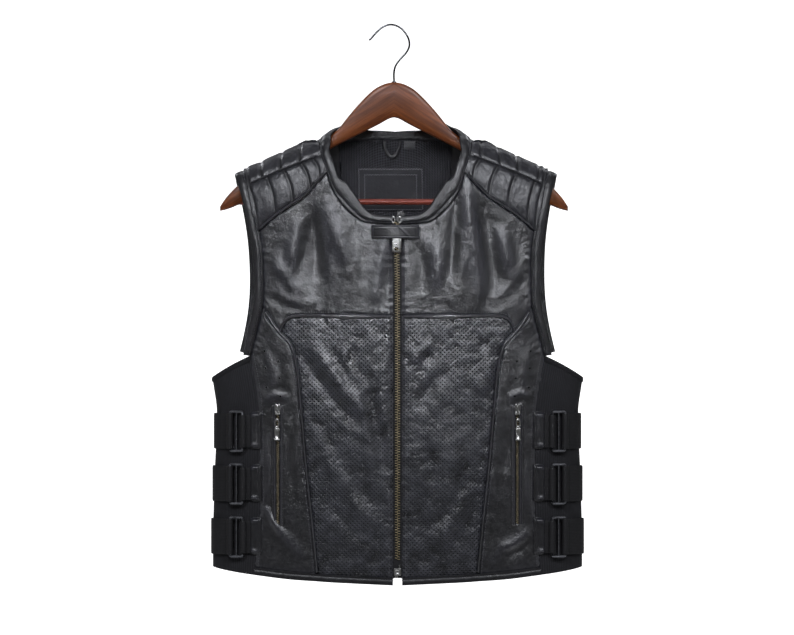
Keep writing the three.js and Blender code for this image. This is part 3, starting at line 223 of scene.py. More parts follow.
@dataclass(frozen=True)
class BodySurface:
    """The shape that the cloth hangs in, in mm.

    u runs across from the centre line. w runs over the shoulder: 0 on the shoulder
    line, negative down the front and positive down the back.
    """

    power: float = 2.4
    roll: float = 70.0
    sections: Rows = (
        (-120, 5.2, 243, 36, 33),
        (-250, 7.0, 243, 42, 37),
        (-350, 8.2, 243, 46, 39),
        (-456, 8.5, 241, 49, 41),
        (-500, 8.5, 236, 50, 41),
        (-565, 8.5, 237, 51, 42),
        (-640, 8.5, 239, 51, 42),
        (-730, 8.5, 241, 51, 43),
    )
    shoulder_line: Rows = (
        (0, -66), (30, -73), (50, -88), (64, -111), (74, -130), (84, -138), (104, -150),
        (134, -162), (169, -178), (196, -189), (209.3, -194), (250, -212),
    )
    folds: tuple[Fold, ...] = (
        Fold(-60, -300, 70, 16, 3.0, -0.1),
        Fold(-105, -300, 75, 16, -3.2, -0.05),
        Fold(75, -295, 80, 18, 3.4, -0.08),
        Fold(120, -310, 70, 16, -3.0, 0.0),
        Fold(-70, -480, 90, 18, 3.6, -0.5),
        Fold(-40, -520, 80, 16, -3.0, -0.5),
        Fold(70, -560, 100, 22, 3.0, -0.1),
    )

    def middle(self, z: Grid) -> Grid:
        """Where the centre line stands at a height."""
        return smooth_column(self.sections, z, 1)

    def half_width(self, z: Grid) -> Grid:
        """Half the body's width at a height."""
        return smooth_column(self.sections, z, 2)

    def fold_rise(self, u: Grid, z: Grid) -> Grid:
        """How far the broad folds lift the front.

        Args:
            u: Places across.
            z: Heights.

        Returns:
            The rise in mm.
        """
        rise = np.zeros(np.broadcast(u, z).shape)
        for fold in self.folds:
            across = (u - fold.u - fold.slant * (z - fold.z)) / fold.half_width
            down = (z - fold.z) / fold.half_length
            rise = rise + fold.rise * np.exp(-across * across - down * down)
        return rise

    def depth(self, u: Grid, z: Grid, back: Grid) -> Grid:
        """How far the surface stands from the middle, in front or behind.

        Args:
            u: Places across.
            z: Heights.
            back: Whether each point is on the back.

        Returns:
            The distance in mm.
        """
        reach = np.minimum(np.abs(u) / self.half_width(z), 1.0)
        curve = (1 - reach**self.power) ** (1 / self.power)
        front = smooth_column(self.sections, z, 3) + self.fold_rise(u, z)
        return np.where(back, smooth_column(self.sections, z, 4), front) * curve

    def height(self, u: Grid, w: Grid) -> Grid:
        """The height of a surface point.

        Args:
            u: Places across.
            w: Runs over the shoulder.

        Returns:
            The height in mm.
        """
        run = np.abs(w)
        top = smooth_column(self.shoulder_line, np.abs(u), 1)
        over = self.roll * (1 - np.cos(np.minimum(run / self.roll, QUARTER_TURN)))
        return top - over - np.maximum(run - self.roll * QUARTER_TURN, 0)

    def bare(self, u: Grid, w: Grid) -> Grid:
        """A surface point with no lift.

        Args:
            u: Places across.
            w: Runs over the shoulder.

        Returns:
            The point in mm.
        """
        z = self.height(u, w)
        over = np.sin(np.minimum(np.abs(w) / self.roll, QUARTER_TURN))
        y = np.sign(w) * over * self.depth(u, z, w > 0)
        return np.stack(np.broadcast_arrays(self.middle(z) + u, y, z), axis=-1)

    def normal(self, u: Grid, w: Grid, step: float = 1.5) -> Grid:
        """The outward direction at a surface point.

        Args:
            u: Places across.
            w: Runs over the shoulder.
            step: Half the distance between the points that it is read from.

        Returns:
            The direction, of length one.
        """
        across = self.bare(u + step, w) - self.bare(u - step, w)
        over = self.bare(u, w + step) - self.bare(u, w - step)
        return unit(np.cross(across, over))

    def point(self, u: Grid, w: Grid, lift: Grid = 0.0) -> Grid:
        """A surface point lifted off along the outward direction."""
        lift = np.broadcast_to(lift, np.broadcast(u, w).shape)
        return self.bare(u, w) + self.normal(u, w) * lift[..., None]

    def run(self, u: Grid, z: Grid, sheet: Sheet) -> Grid:
        """The run over the shoulder of a point at a height.

        Args:
            u: Places across.
            z: Heights.
            sheet: The half that the point lies on.

        Returns:
            The run in mm, negative in front.
        """
        drop = smooth_column(self.shoulder_line, np.abs(u), 1) - z
        turn = np.clip(drop / self.roll, 0, 1)
        steep = self.roll * QUARTER_TURN + drop - self.roll
        return sheet.value * np.where(drop < self.roll, self.roll * np.arccos(1 - turn), steep)

    def side_angle(self, u: Grid, z: Grid, sheet: Sheet) -> Grid:
        """The angle round the side: a quarter turn in front, zero at the side."""
        reach = np.minimum(u / self.half_width(z), 1.0) ** (self.power / 2)
        return -sheet.value * np.arccos(reach)

    def side_bare(self, angle: Grid, z: Grid) -> Grid:
        """A point of the right side's surface, from the centre line.

        Args:
            angle: Angles round the side.
            z: Heights.

        Returns:
            The point in mm.
        """
        c, s = np.cos(angle), np.sin(angle)
        front, back = (smooth_column(self.sections, z, k) for k in (3, 4))
        x = self.half_width(z) * np.abs(c) ** (2 / self.power)
        y = -np.sign(s) * np.where(s > 0, front, back) * np.abs(s) ** (2 / self.power)
        return np.stack(np.broadcast_arrays(x, y, z), axis=-1)

    def on_side(self, side: Side, angle: Grid, z: Grid, lift: Grid = 0.0) -> Grid:
        """A point lifted off the surface round a side.

        Args:
            side: The side of the vest.
            angle: Angles round the side.
            z: Heights.
            lift: Lift off the surface in mm.

        Returns:
            The point in mm.
        """
        turn, step = 0.01, 1.0
        round_it = self.side_bare(angle - turn, z) - self.side_bare(angle + turn, z)
        up = self.side_bare(angle, z + step) - self.side_bare(angle, z - step)
        normal = unit(np.cross(round_it, up))
        lift = np.broadcast_to(lift, np.broadcast(angle, z).shape)
        point = self.side_bare(angle, z) + normal * lift[..., None]
        point[..., 0] = self.middle(z) + side.value * point[..., 0]
        return point


BODY = BodySurface()


# Creases and rumples


@dataclass(frozen=True)
class Crease:
    """A listed crease: its line as (u, z) in mm, its rise and half width."""

    line: tuple[Edge, ...]
    rise: float
    width: float
    sheet: Sheet = Sheet.FRONT

    def lift(self, u: Grid, z: Grid) -> Grid:
        """How far the crease lifts the cloth.

        Args:
            u: Places across, left negative.
            z: Heights.

        Returns:
            The lift, a ridge with a shallow trough beside it, fading at both ends.
        """
        line = resample(spline(np.array(self.line, dtype=float), 8), 14)
        run = along(line)
        best = np.full(u.shape, 1e9)
        signed = np.zeros(u.shape)
        share = np.zeros(u.shape)
        for k in range(len(line) - 1):
            start, way = line[k], line[k + 1] - line[k]
            length = float(np.linalg.norm(way))
            way = way / length
            t = np.clip((u - start[0]) * way[0] + (z - start[1]) * way[1], 0, length)
            du, dz = u - start[0] - way[0] * t, z - start[1] - way[1] * t
            off = np.hypot(du, dz)
            near = off < best
            best = np.where(near, off, best)
            signed = np.where(near, np.sign(way[0] * dz - way[1] * du) * off, signed)
            share = np.where(near, (run[k] + t) / run[-1], share)
        taper = np.sin(math.pi * np.clip(share, 0.0, 1.0)) ** 0.7
        main = np.exp(-((signed / self.width) ** 2))
        beside = np.exp(-(((signed - 1.7 * self.width) / self.width) ** 2))
        return self.rise * taper * (main - 0.5 * beside)


@dataclass(frozen=True)
class Relief:
    """All the small relief of the cloth: listed creases, then a soft rumple."""

    creases: tuple[Crease, ...] = ()
    broad: float = 0.9
    broad_size: Edge = (30.0, 52.0)
    fine: float = 0.3
    fine_size: Edge = (11.0, 15.0)

    def lift(self, u: Grid, w: Grid) -> Grid:
        """The lift of the cloth at surface points.

        Args:
            u: Places across.
            w: Runs over the shoulder.

        Returns:
            The lift in mm.
        """
        z = BODY.height(u, w)
        rise = np.zeros(u.shape)
        for crease in self.creases:
            there = (w > 0) == (crease.sheet is Sheet.BACK)
            if there.any():
                rise = rise + np.where(there, crease.lift(u, z), 0.0)
        flat_u, flat_w = u.ravel(), w.ravel()
        rumple = np.zeros(flat_u.shape)
        layers = ((self.broad, self.broad_size, 3.7), (self.fine, self.fine_size, 9.1))
        for k in range(len(flat_u)):
            for rise_mm, size, layer in layers:
                spot = Vector((flat_u[k] / size[0], flat_w[k] / size[1], layer))
                rumple[k] += rise_mm * noise.noise(spot)
        return rise + rumple.reshape(u.shape)


# Meshes


def make_object(name: str, points: Grid, faces: Sequence[Sequence[int]], uv: Optional[Grid] = None,
                rub: Optional[Grid] = None, smooth_angle: float = 50.0) -> Object:
    """Make a mesh object from points in mm.

    Args:
        name: The object's name.
        points: Its points in mm, one a row.
        faces: Its faces by point number.
        uv: Each point's place on the flat cloth in mm.
        rub: How much lighter each point is drawn, from 0 to 1: wear, and in places a painted highlight.
        smooth_angle: The angle in degrees past which an edge stays sharp.

    Returns:
        The object, at the origin.
    """
    mesh = bpy.data.meshes.new(name)
    mesh.from_pydata((np.asarray(points) * MM).tolist(), [], [list(map(int, f)) for f in faces])
    mesh.validate()
    obj = bpy.data.objects.new(name, mesh)
    bpy.context.collection.objects.link(obj)
    if uv is not None:
        layer = mesh.uv_layers.new(name="cloth")
        corners = np.empty(len(mesh.loops), dtype=np.int32)
        mesh.loops.foreach_get("vertex_index", corners)
        layer.data.foreach_set("uv", (np.asarray(uv)[corners] * MM).ravel())
    if rub is not None:
        wear_and_sheen_layer = mesh.attributes.new("rub", "FLOAT", "POINT")
        wear_and_sheen_layer.data.foreach_set("value", np.asarray(rub, dtype=np.float32))
    soften(obj, smooth_angle)
    return obj


def pick(obj: Object) -> None:
    """Make an object the only one selected, and the active one.

    Args:
        obj: The object.
    """
    bpy.ops.object.select_all(action="DESELECT")
    obj.select_set(True)
    bpy.context.view_layer.objects.active = obj


def soften(obj: Object, angle: float) -> None:
    """Shade an object smooth up to an angle in degrees."""
    pick(obj)
    bpy.ops.object.shade_smooth_by_angle(angle=math.radians(angle))


def grid_faces(rows: int, cols: int, first: int = 0, turned: bool = False) -> Grid:
    """The four-sided faces of a grid of points.

    Args:
        rows: The grid's rows.
        cols: The grid's columns.
        first: The number of its first point.
        turned: Whether the faces point the other way.

    Returns:
        The faces, one a row.
    """
    i, j = np.meshgrid(np.arange(rows - 1), np.arange(cols - 1), indexing="ij")
    a = (first + i * cols + j).ravel()
    quads = np.stack([a, a + 1, a + cols + 1, a + cols], axis=1)
    return quads[:, ::-1] if turned else quads


def signed_volume(points: Grid, faces: Grid) -> float:
    """Six times the volume that four-sided faces close in."""
    a, b, c, d = (points[faces[:, k]] for k in range(4))
    return float(np.sum(a * np.cross(b, c)) + np.sum(a * np.cross(c, d)))


def shell(name: str, outer: Grid, inner: Grid, uv: Optional[Grid] = None, rub: Optional[Grid] = None,
          smooth_angle: float = 50.0) -> Object:
    """Close a thin wall between two grids of points.

    Args:
        name: The object's name.
        outer: The outer grid of points in mm.
        inner: The inner grid, of the same shape.
        uv: Each grid point's place on the flat cloth.
        rub: How much lighter each grid point is drawn: wear, and in places a painted highlight.
        smooth_angle: The angle in degrees past which an edge stays sharp.

    Returns:
        The wall.
    """
    rows, cols = outer.shape[:2]
    count = rows * cols
    points = np.vstack([outer.reshape(-1, 3), inner.reshape(-1, 3)])
    index = np.arange(count).reshape(rows, cols)
    rim = np.concatenate([index[0, :-1], index[:-1, -1], index[-1, :0:-1], index[:0:-1, 0]])
    after = np.roll(rim, -1)
    sides = np.stack([after, rim, rim + count, after + count], axis=1)
    faces = np.vstack([grid_faces(rows, cols), grid_faces(rows, cols, count, True), sides])
    if signed_volume(points, faces) < 0:
        faces = faces[:, ::-1]
    both_uv = None if uv is None else np.tile(uv.reshape(count, -1), (2, 1))
    both_wear_and_sheen = None if rub is None else np.tile(rub.ravel(), 2)
    return make_object(name, points, faces, both_uv, both_wear_and_sheen, smooth_angle)


def tube(name: str, rings: Grid, uv: Optional[Grid] = None, looped: bool = False,
         smooth_angle: float = 50.0) -> Object:
    """Skin rings of points into a closed tube.

    Args:
        name: The object's name.
        rings: The rings, as rings by points by 3.
        uv: Each ring point's place on the flat cloth.
        looped: Whether the last ring meets the first.
        smooth_angle: The angle in degrees past which an edge stays sharp.

    Returns:
        The tube, with flat ends if it isn't looped.
    """
    count, size = rings.shape[:2]
    points = rings.reshape(-1, 3)
    last = count if looped else count - 1
    i, j = np.meshgrid(np.arange(last), np.arange(size), indexing="ij")
    here, there = i * size, ((i + 1) % count) * size
    quads = np.stack([here + j, here + (j + 1) % size, there + (j + 1) % size, there + j], axis=-1)
    faces = quads.reshape(-1, 4)
    flip = signed_volume(points, faces) < 0
    all_faces = [list(face[::-1] if flip else face) for face in faces]
    if not looped:
        start, end = list(range(size)), list(range((count - 1) * size, count * size))
        all_faces += [start if flip else start[::-1], end[::-1] if flip else end]
    return make_object(name, points, all_faces, None if uv is None else uv.reshape(-1, 2), None, smooth_angle)


@dataclass(frozen=True)
class Template:
    """A small shape modelled once, whose copies are laid out in one mesh."""

    points: Grid
    faces: tuple[tuple[int, ...], ...]

    @classmethod
    def taken_from(cls, obj: Object) -> "Template":
        """Read a template from an object in mm, and remove the object.

        Args:
            obj: The object.

        Returns:
            The template.
        """
        mesh = obj.data
        points = np.array([v.co[:] for v in mesh.vertices])
        faces = tuple(tuple(p.vertices) for p in mesh.polygons)
        bpy.data.objects.remove(obj)
        bpy.data.meshes.remove(mesh)
        return cls(points, faces)

    def laid(self, name: str, origins: Grid, x_axes: Grid, y_axes: Grid, z_axes: Grid,
             smooth_angle: float = 60.0) -> Object:
        """Lay copies out in one mesh.

        Args:
            name: The object's name.
            origins: Each copy's place in mm.
            x_axes: Each copy's X axis.
            y_axes: Each copy's Y axis.
            z_axes: Each copy's Z axis.
            smooth_angle: The angle in degrees past which an edge stays sharp.

        Returns:
            The joined copies.
        """
        axes = np.stack([x_axes, y_axes, z_axes], axis=1)
        points = np.einsum("pk,nkd->npd", self.points, axes) + origins[:, None, :]
        count = len(self.points)
        faces = [[n * count + k for k in face] for n in range(len(origins)) for face in self.faces]
        return make_object(name, points.reshape(-1, 3), faces, None, None, smooth_angle)


def surface_frames(u: Grid, w: Grid, lift: Grid) -> Frames:
    """Frames along a line on the body.

    Args:
        u: Places across.
        w: Runs over the shoulder.
        lift: Lift off the surface.

    Returns:
        The origins, then the axes along, across and out.
    """
    origins = BODY.point(u, w, lift)
    forward = ways(origins)
    across = unit(np.cross(BODY.normal(u, w), forward))
    return origins, forward, across, np.cross(forward, across)


def upright_frames(spots: Grid, lift: Grid) -> Frames:
    """Frames at places on the front, each upright and facing out.

    Args:
        spots: The places as (u, z).
        lift: Lift off the surface.

    Returns:
        The origins, then the axes across, down and out.
    """
    w = BODY.run(spots[:, 0], spots[:, 1], Sheet.FRONT)
    out = BODY.normal(spots[:, 0], w)
    across = -unit(np.cross(UP, out))
    return BODY.point(spots[:, 0], w, lift), across, np.cross(out, across), out


# Seams


def front(*points: Edge) -> Rows:
    """Seam points on the front."""
    return tuple((u, z, Sheet.FRONT.value) for u, z in points)


def back(*points: Edge) -> Rows:
    """Seam points on the back."""
    return tuple((u, z, Sheet.BACK.value) for u, z in points)


@dataclass(frozen=True)
class Seams:
    """The vest's seam lines as points (u, z, sheet) in mm, for the right side."""

    hem_strip: float = 9.8
    neck_front: Rows = front(
        (5.9, -259.2), (39.6, -256.6), (50.1, -251.4), (68.9, -233.9), (82.5, -213.1), (89.7, -191.6)
    )
    neck_shoulder: Rows = front((89.7, -191.6), (97.2, -170.5))
    neck_top: Rows = front((97.2, -170.5), (99.6, -153.6))
    neck_back: Rows = back((0, -147), (40, -147), (62, -147), (80, -145), (92, -143)) + front((99.6, -153.6))
    lower_shoulder: Rows = front(
        (89.7, -191.6), (102.7, -205.9), (117, -220.9), (136.5, -233.9), (157.3, -248.2), (179, -267)
    )
    upper_shoulder: Rows = front((97.2, -170.5), (143, -188), (190.5, -208))
    rear_shoulder: Rows = front((99.6, -153.6)) + back((122, -157.4), (152, -181), (189, -216))
    arm_chest: Rows = front((174.6, -367.5), (173.6, -332), (175.1, -287.8), (179, -267))
    arm_shoulder: Rows = front((179, -267), (185.2, -237.1), (190.5, -208))
    arm_top: Rows = front((190.5, -208), (196, -189)) + back((189, -216))
    arm_low: Rows = front((190.5, -430), (188.5, -421.7), (181.3, -394.4), (174.6, -367.5))
    arm_back: Rows = back((193, -430), (186, -394), (179, -343.7), (180, -300), (185, -250), (189, -216))
    yoke: Rows = front(
        (5.9, -378.2), (60, -378.2), (130, -377.8), (141.5, -380.6), (147.4, -388), (151.5, -399.4)
    )
    princess_high: Rows = front((151.5, -399.4), (158.5, -390.8), (170.5, -371.5))
    princess_low: Rows = front(
        (103.6, -710.2), (109.9, -646.6), (118, -572.5), (123.8, -506.2), (129.7, -446.4),
        (137.5, -415.5), (151.5, -399.4),
    )
    side_front: Rows = front(
        (184.6, -702.5), (178.4, -632.3), (178.1, -564.7), (179.1, -506.2), (182.7, -472.4), (190.5, -430)
    )
    side_back: Rows = back((182, -698), (178, -632), (177, -565), (178, -506), (183, -470), (193, -430))
    hem_inner: Rows = front((5.9, -725), (87.8, -721.1), (103.6, -720))
    hem_outer: Rows = front((103.6, -720), (140.4, -717.5), (184.6, -712.3))
    hem_back: Rows = back((0, -716), (90, -714), (182, -707.8))
    neck_widths: Rows = (
        (0, 9.8), (0.2, 10.4), (0.45, 11.2), (0.58, 14.5), (0.68, 15.5), (0.8, 11.5), (1, 10.2)
    )
    arm_rows_front: Rows = (
        (199.5, -428, 190.2, -429), (194.5, -401, 183.4, -401), (186, -362, 174.3, -362),
        (185.3, -325, 173.6, -325), (187.8, -290, 175, -289), (192.8, -260, 180.2, -260),
        (198.5, -231, 186.4, -231), (205.5, -206, 190.9, -206), (209, -196.5, 195.4, -192),
    )
    arm_rows_back: Rows = (
        (209, -197.5, 195, -193), (206.5, -212, 189.6, -213), (200.5, -238, 186.5, -238),
        (194.5, -280, 181.2, -280), (192.5, -330, 179, -330), (194.5, -365, 181.3, -365),
        (199.5, -396, 186.4, -396), (206, -424, 192.4, -428),
    )

    def line(self, table: Rows, steps: int, drop: float = 0.0) -> Grid:
        """A seam as surface coordinates (u, w).

        Args:
            table: The seam's points.
            steps: How many even steps it gets.
            drop: How far up the seam is moved, as from a hem's edge to its seam.

        Returns:
            The points along it.
        """
        sheets = [Sheet(row[2]) for row in table]
        runs = [float(BODY.run(np.array(u), np.array(z + drop), Sheet(s))) for u, z, s in table]
        if len(set(sheets)) > 1:
            return resample(spline(np.array([[row[0], run] for row, run in zip(table, runs)])), steps)
        flat = resample(spline(np.array([[row[0], row[1] + drop] for row in table])), steps)
        return np.stack([flat[:, 0], BODY.run(flat[:, 0], flat[:, 1], sheets[0])], axis=1)

    def arm_lines(self, steps: int) -> tuple[Grid, Grid]:
        """The armhole binding's edge and seam as surface coordinates.

        Args:
            steps: How many even steps it gets.

        Returns:
            The edge and the seam.
        """
        lines = []
        for first in (0, 2):
            spots = [
                [row[first], float(BODY.run(np.array(row[first]), np.array(row[first + 1]), sheet))]
                for rows, sheet in ((self.arm_rows_front, Sheet.FRONT), (self.arm_rows_back, Sheet.BACK))
                for row in rows
            ]
            dense = spline(np.array(spots), 40)
            at, index = np.linspace(0, len(dense) - 1, steps + 1), np.arange(len(dense))
            lines.append(np.stack([np.interp(at, index, dense[:, k]) for k in (0, 1)], axis=1))
        return lines[0], lines[1]

    def neck_lines(self, steps: int) -> tuple[Grid, Grid]:
        """The neck binding's edge and seam, from the front's centre to the back's.

        Args:
            steps: How finely it is divided.

        Returns:
            The edge and the seam.
        """
        seam = joined(
            self.line(self.neck_front, 8 * steps),
            self.line(self.neck_shoulder, 4 * steps),
            self.line(self.neck_top, 5 * steps),
            self.line(self.neck_back, 8 * steps)[::-1],
        )
        way = np.gradient(seam, axis=0)
        way[0] = (np.sign(way[0][0]), 0)
        way[-1] = (np.sign(way[-1][0]), 0)
        width = smooth_column(self.neck_widths, np.linspace(0, 1, len(seam)), 1)[:, None]
        return seam + leftward(unit(way)) * width, seam


SEAMS = Seams()


def patch(bottom: Grid, top: Grid, left: Grid, right: Grid) -> Grid:
    """Fill a four-sided patch of surface coordinates from its edges.

    Args:
        bottom: The lower edge.
        top: The upper edge, which runs the same way.
        left: The edge from the lower edge's start.
        right: The edge from the lower edge's end.

    Returns:
        The patch as rows by columns by 2.
    """
    s = np.linspace(0, 1, len(bottom))[None, :, None]
    t = np.linspace(0, 1, len(left))[:, None, None]
    mixed = (1 - t) * bottom[None] + t * top[None] + (1 - s) * left[:, None] + s * right[:, None]
    low = (1 - s) * (1 - t) * bottom[0] + s * (1 - t) * bottom[-1]
    high = (1 - s) * t * top[0] + s * t * top[-1]
    return mixed - low - high


def inset(grid: Grid, gap: float) -> Grid:
    """Move a patch's edges in, square to each edge.

    Args:
        grid: The patch of surface coordinates.
        gap: How far they move, or out if negative.

    Returns:
        The moved patch.
    """
    moved = grid.copy()
    across, upward = grid[0, -1] - grid[0, 0], grid[-1, 0] - grid[0, 0]
    turn = np.sign(across[0] * upward[1] - across[1] * upward[0])

    def shift(edge: tuple, line: Grid, way: float) -> None:
        """Move one edge of the patch."""
        moved[edge] += leftward(ways(line)) * gap * way * turn

    shift(np.s_[0, :], grid[0], 1)
    shift(np.s_[-1, :], grid[-1], -1)
    shift(np.s_[:, 0], grid[:, 0], -1)
    shift(np.s_[:, -1], grid[:, -1], 1)
    return moved


def edge_distances(grid: Grid) -> tuple[Grid, Grid, Grid, Grid]:
    """Distance of each patch point from the bottom, top, left and right edges.

    Args:
        grid: The patch of surface coordinates.

    Returns:
        The four distances in mm.
    """
    down = np.linalg.norm(np.diff(grid, axis=0), axis=2)
    side = np.linalg.norm(np.diff(grid, axis=1), axis=2)
    up = np.vstack([np.zeros((1, grid.shape[1])), np.cumsum(down, axis=0)])
    right = np.hstack([np.zeros((grid.shape[0], 1)), np.cumsum(side, axis=1)])
    return up, up[-1:] - up, right, right[:, -1:] - right


# Finishes


def linear(code: str) -> tuple[float, float, float, float]:
    """A colour written as sRGB hex, as linear light."""
    parts = [int(code[k : k + 2], 16) / 255 for k in (0, 2, 4)]
    return (*[p / 12.92 if p <= 0.04045 else ((p + 0.055) / 1.055) ** 2.4 for p in parts], 1.0)


class Recipe:
    """A material being made: its nodes, its coordinates and its surface shader."""

    def __init__(self, name: str) -> None:
        """Start a material that has a surface shader and nothing else.

        Args:
            name: The material's name.
        """
        self.material = bpy.data.materials.new(name)
        self.material.use_nodes = True
        self.tree = self.material.node_tree
        self.tree.nodes.clear()
        self.shader = self.add("ShaderNodeBsdfPrincipled")
        self.add("ShaderNodeOutputMaterial", None, {"Surface": self.shader.outputs[0]})
        self.places = self.add("ShaderNodeTexCoord").outputs

    def add(self, kind: str, settings: Optional[dict] = None,
            inputs: Optional[dict] = None) -> bpy.types.Node:
        """Add a node with its settings and links.

        Args:
            kind: The node's type.
            settings: Properties of the node by name.
            inputs: Values for its sockets, or output sockets to link from, by name or number.

        Returns:
            The node.
        """
        node = self.tree.nodes.new(kind)
        for name, value in (settings or {}).items():
            setattr(node, name, value)
        self.feed(node, inputs or {})
        return node

    def feed(self, node: bpy.types.Node, inputs: dict) -> None:
        """Set a node's sockets, or link them.

        Args:
            node: The node.
            inputs: Values or output sockets, by name or number.
        """
        for name, value in inputs.items():
            if isinstance(value, bpy.types.NodeSocket):
                self.tree.links.new(value, node.inputs[name])
            else:
                node.inputs[name].default_value = value

    def noise(self, size_mm: float, detail: float, roughness: float = 0.5, place: Optional[Socket] = None,
              distortion: float = 0.0) -> Socket:
        """Soft noise.

        Args:
            size_mm: How large its lumps are.
            detail: How many finer layers it has.
            roughness: How strong the finer layers are.
            place: The coordinates, or none for the object's own.
            distortion: How far it is bent.

        Returns:
            Its factor.
        """
        place = self.places["Object"] if place is None else place
        inputs = {"Vector": place, "Scale": 1 / (size_mm * MM), "Detail": detail, "Roughness": roughness,
                  "Distortion": distortion}
        return self.add("ShaderNodeTexNoise", None, inputs).outputs[0]

    def lattice(self, pitch_mm: float, place: Socket) -> Socket:
        """How far each point is from the nearest point of an even flat lattice."""
        inputs = {"Vector": place, "Scale": 1 / (pitch_mm * MM), "Randomness": 0.0}
        return self.add("ShaderNodeTexVoronoi", {"voronoi_dimensions": "2D"}, inputs).outputs["Distance"]

    def maths(self, operation: str, *values: Value) -> Socket:
        """A number worked out from others."""
        return self.add("ShaderNodeMath", {"operation": operation}, dict(enumerate(values))).outputs[0]

    def ramp(self, factor: Socket, low: float, high: float, start: float = 0.0, end: float = 1.0) -> Socket:
        """A number read from low to high and given as start to end."""
        return self.add("ShaderNodeMapRange", None, {0: factor, 1: low, 2: high, 3: start, 4: end}).outputs[0]

    def blend(self, factor: Socket, low: Value, high: Value) -> Socket:
        """A colour between two, each a hex colour or a socket."""
        first, last = (linear(end) if isinstance(end, str) else end for end in (low, high))
        return self.add("ShaderNodeMix", {"data_type": "RGBA"}, {0: factor, 6: first, 7: last}).outputs[2]

    def finished(self, surface: dict, height: Socket, depth_mm: float, strength: float,
                 invert: bool = False) -> Material:
        """Feed the surface shader and press the relief in.

        Args:
            surface: The shader's values or sockets by name.
            height: The relief.
            depth_mm: How deep it is.
            strength: How much of it shows.
            invert: Whether its high parts go in.

        Returns:
            The material.
        """
        inputs = {"Height": height, "Distance": depth_mm * MM, "Strength": strength}
        bump = self.add("ShaderNodeBump", {"invert": invert}, inputs)
        self.feed(self.shader, {**surface, "Normal": bump.outputs[0]})
        return self.material


@dataclass(frozen=True)
class GrainLeather:
    """Drum-dyed cow leather, plated to a satin face.

    Its pebble is too fine to show from afar, so it is drawn a little coarse. The eye
    gets a soft grey sheen on what faces the light and a broken edge to each highlight.
    """

    name: str = "satin_grain_leather"
    dark: str = "08080a"
    light: str = "141417"
    # The lighter colour mixed in along worn edges and ridges, and as a painted highlight on the tabs' folds
    # and lobes.
    rubbed: str = "2a2a30"
    roughness: Edge = (0.28, 0.46)
    pebble_mm: float = 2.4
    crackle_mm: float = 5.0
    rumple_mm: float = 24.0
    bump_mm: float = 2.0
    shine: float = 0.6
    cloud_mm: float = 45.0
    crackle_share: float = 0.16
    pebble_share: float = 0.06

    def build(self) -> Material:
        """Make the material.

        Returns:
            The material.
        """
        recipe = Recipe(self.name)
        cloud = recipe.noise(self.cloud_mm, 4.0)
        crackle = recipe.noise(self.crackle_mm, 5.0, 0.62)
        rumple = recipe.noise(self.rumple_mm, 3.0)
        pebble = recipe.add(
            "ShaderNodeTexVoronoi", {"feature": "SMOOTH_F1"},
            {"Vector": recipe.places["Object"], "Scale": 1 / (self.pebble_mm * MM), "Smoothness": 0.5},
        )
        tone = recipe.blend(recipe.ramp(cloud, 0.3, 0.7), self.dark, self.light)
        # Per-point mask of how much lighter to draw: wear, plus painted highlights on the tabs.
        rub = recipe.add("ShaderNodeAttribute", {"attribute_name": "rub"}).outputs["Fac"]
        coarse = recipe.maths("MULTIPLY_ADD", crackle, self.crackle_share, rumple)
        height = recipe.maths("MULTIPLY_ADD", pebble.outputs["Distance"], self.pebble_share, coarse)
        surface = {
            "Base Color": recipe.blend(recipe.maths("MULTIPLY", rub, crackle), tone, self.rubbed),
            "Roughness": recipe.ramp(crackle, 0.3, 0.7, *self.roughness),
            "Specular IOR Level": self.shine,
        }
        return recipe.finished(surface, height, self.bump_mm, 1.0)


@dataclass(frozen=True)
class PiercedLeather:
    """Satin leather punched all over with small holes in slanting rows.

    The holes are 1.8 mm wide on a slanting lattice and are not cut: each is a near-black
    dot of painted shade in the colour, so the eye gets a fine even mesh of dark dots with a cool sheen
    between them.
    """

    name: str = "pierced_leather"
    dark: str = "0c0d11"
    light: str = "1c1d25"
    # The painted shade of each hole's dark inside.
    hole: str = "020203"
    roughness: Edge = (0.26, 0.46)
    pitch_mm: float = 3.9
    hole_mm: float = 1.8
    slant: float = QUARTER_TURN / 2
    bump_mm: float = 0.4
    cloud_mm: float = 15.0
    rumple: float = 8.5
    shine: float = 0.75
    shine_in_hole: float = 0.15

    def build(self) -> Material:
        """Make the material.

        Returns:
            The material.
        """
        recipe = Recipe(self.name)
        turn = {"Vector": recipe.places["UV"], "Rotation": (0.0, 0.0, self.slant)}
        turned = recipe.add("ShaderNodeMapping", None, turn).outputs[0]
        radius = self.hole_mm / 2 / self.pitch_mm
        hole = recipe.ramp(recipe.lattice(self.pitch_mm, turned), radius * 0.8, radius * 1.25, 1.0, 0.0)
        cloud = recipe.noise(self.cloud_mm, 5.0)
        tone = recipe.blend(recipe.ramp(cloud, 0.3, 0.7), self.dark, self.light)
        # The holes' painted shade goes into the base colour.
        surface = {
            "Base Color": recipe.blend(hole, tone, self.hole),
            "Roughness": recipe.ramp(cloud, 0.3, 0.7, *self.roughness),
            "Specular IOR Level": recipe.ramp(hole, 0.0, 1.0, self.shine, self.shine_in_hole),
        }
        height = recipe.maths("MULTIPLY_ADD", cloud, -self.rumple, hole)
        return recipe.finished(surface, height, self.bump_mm, 0.8, True)


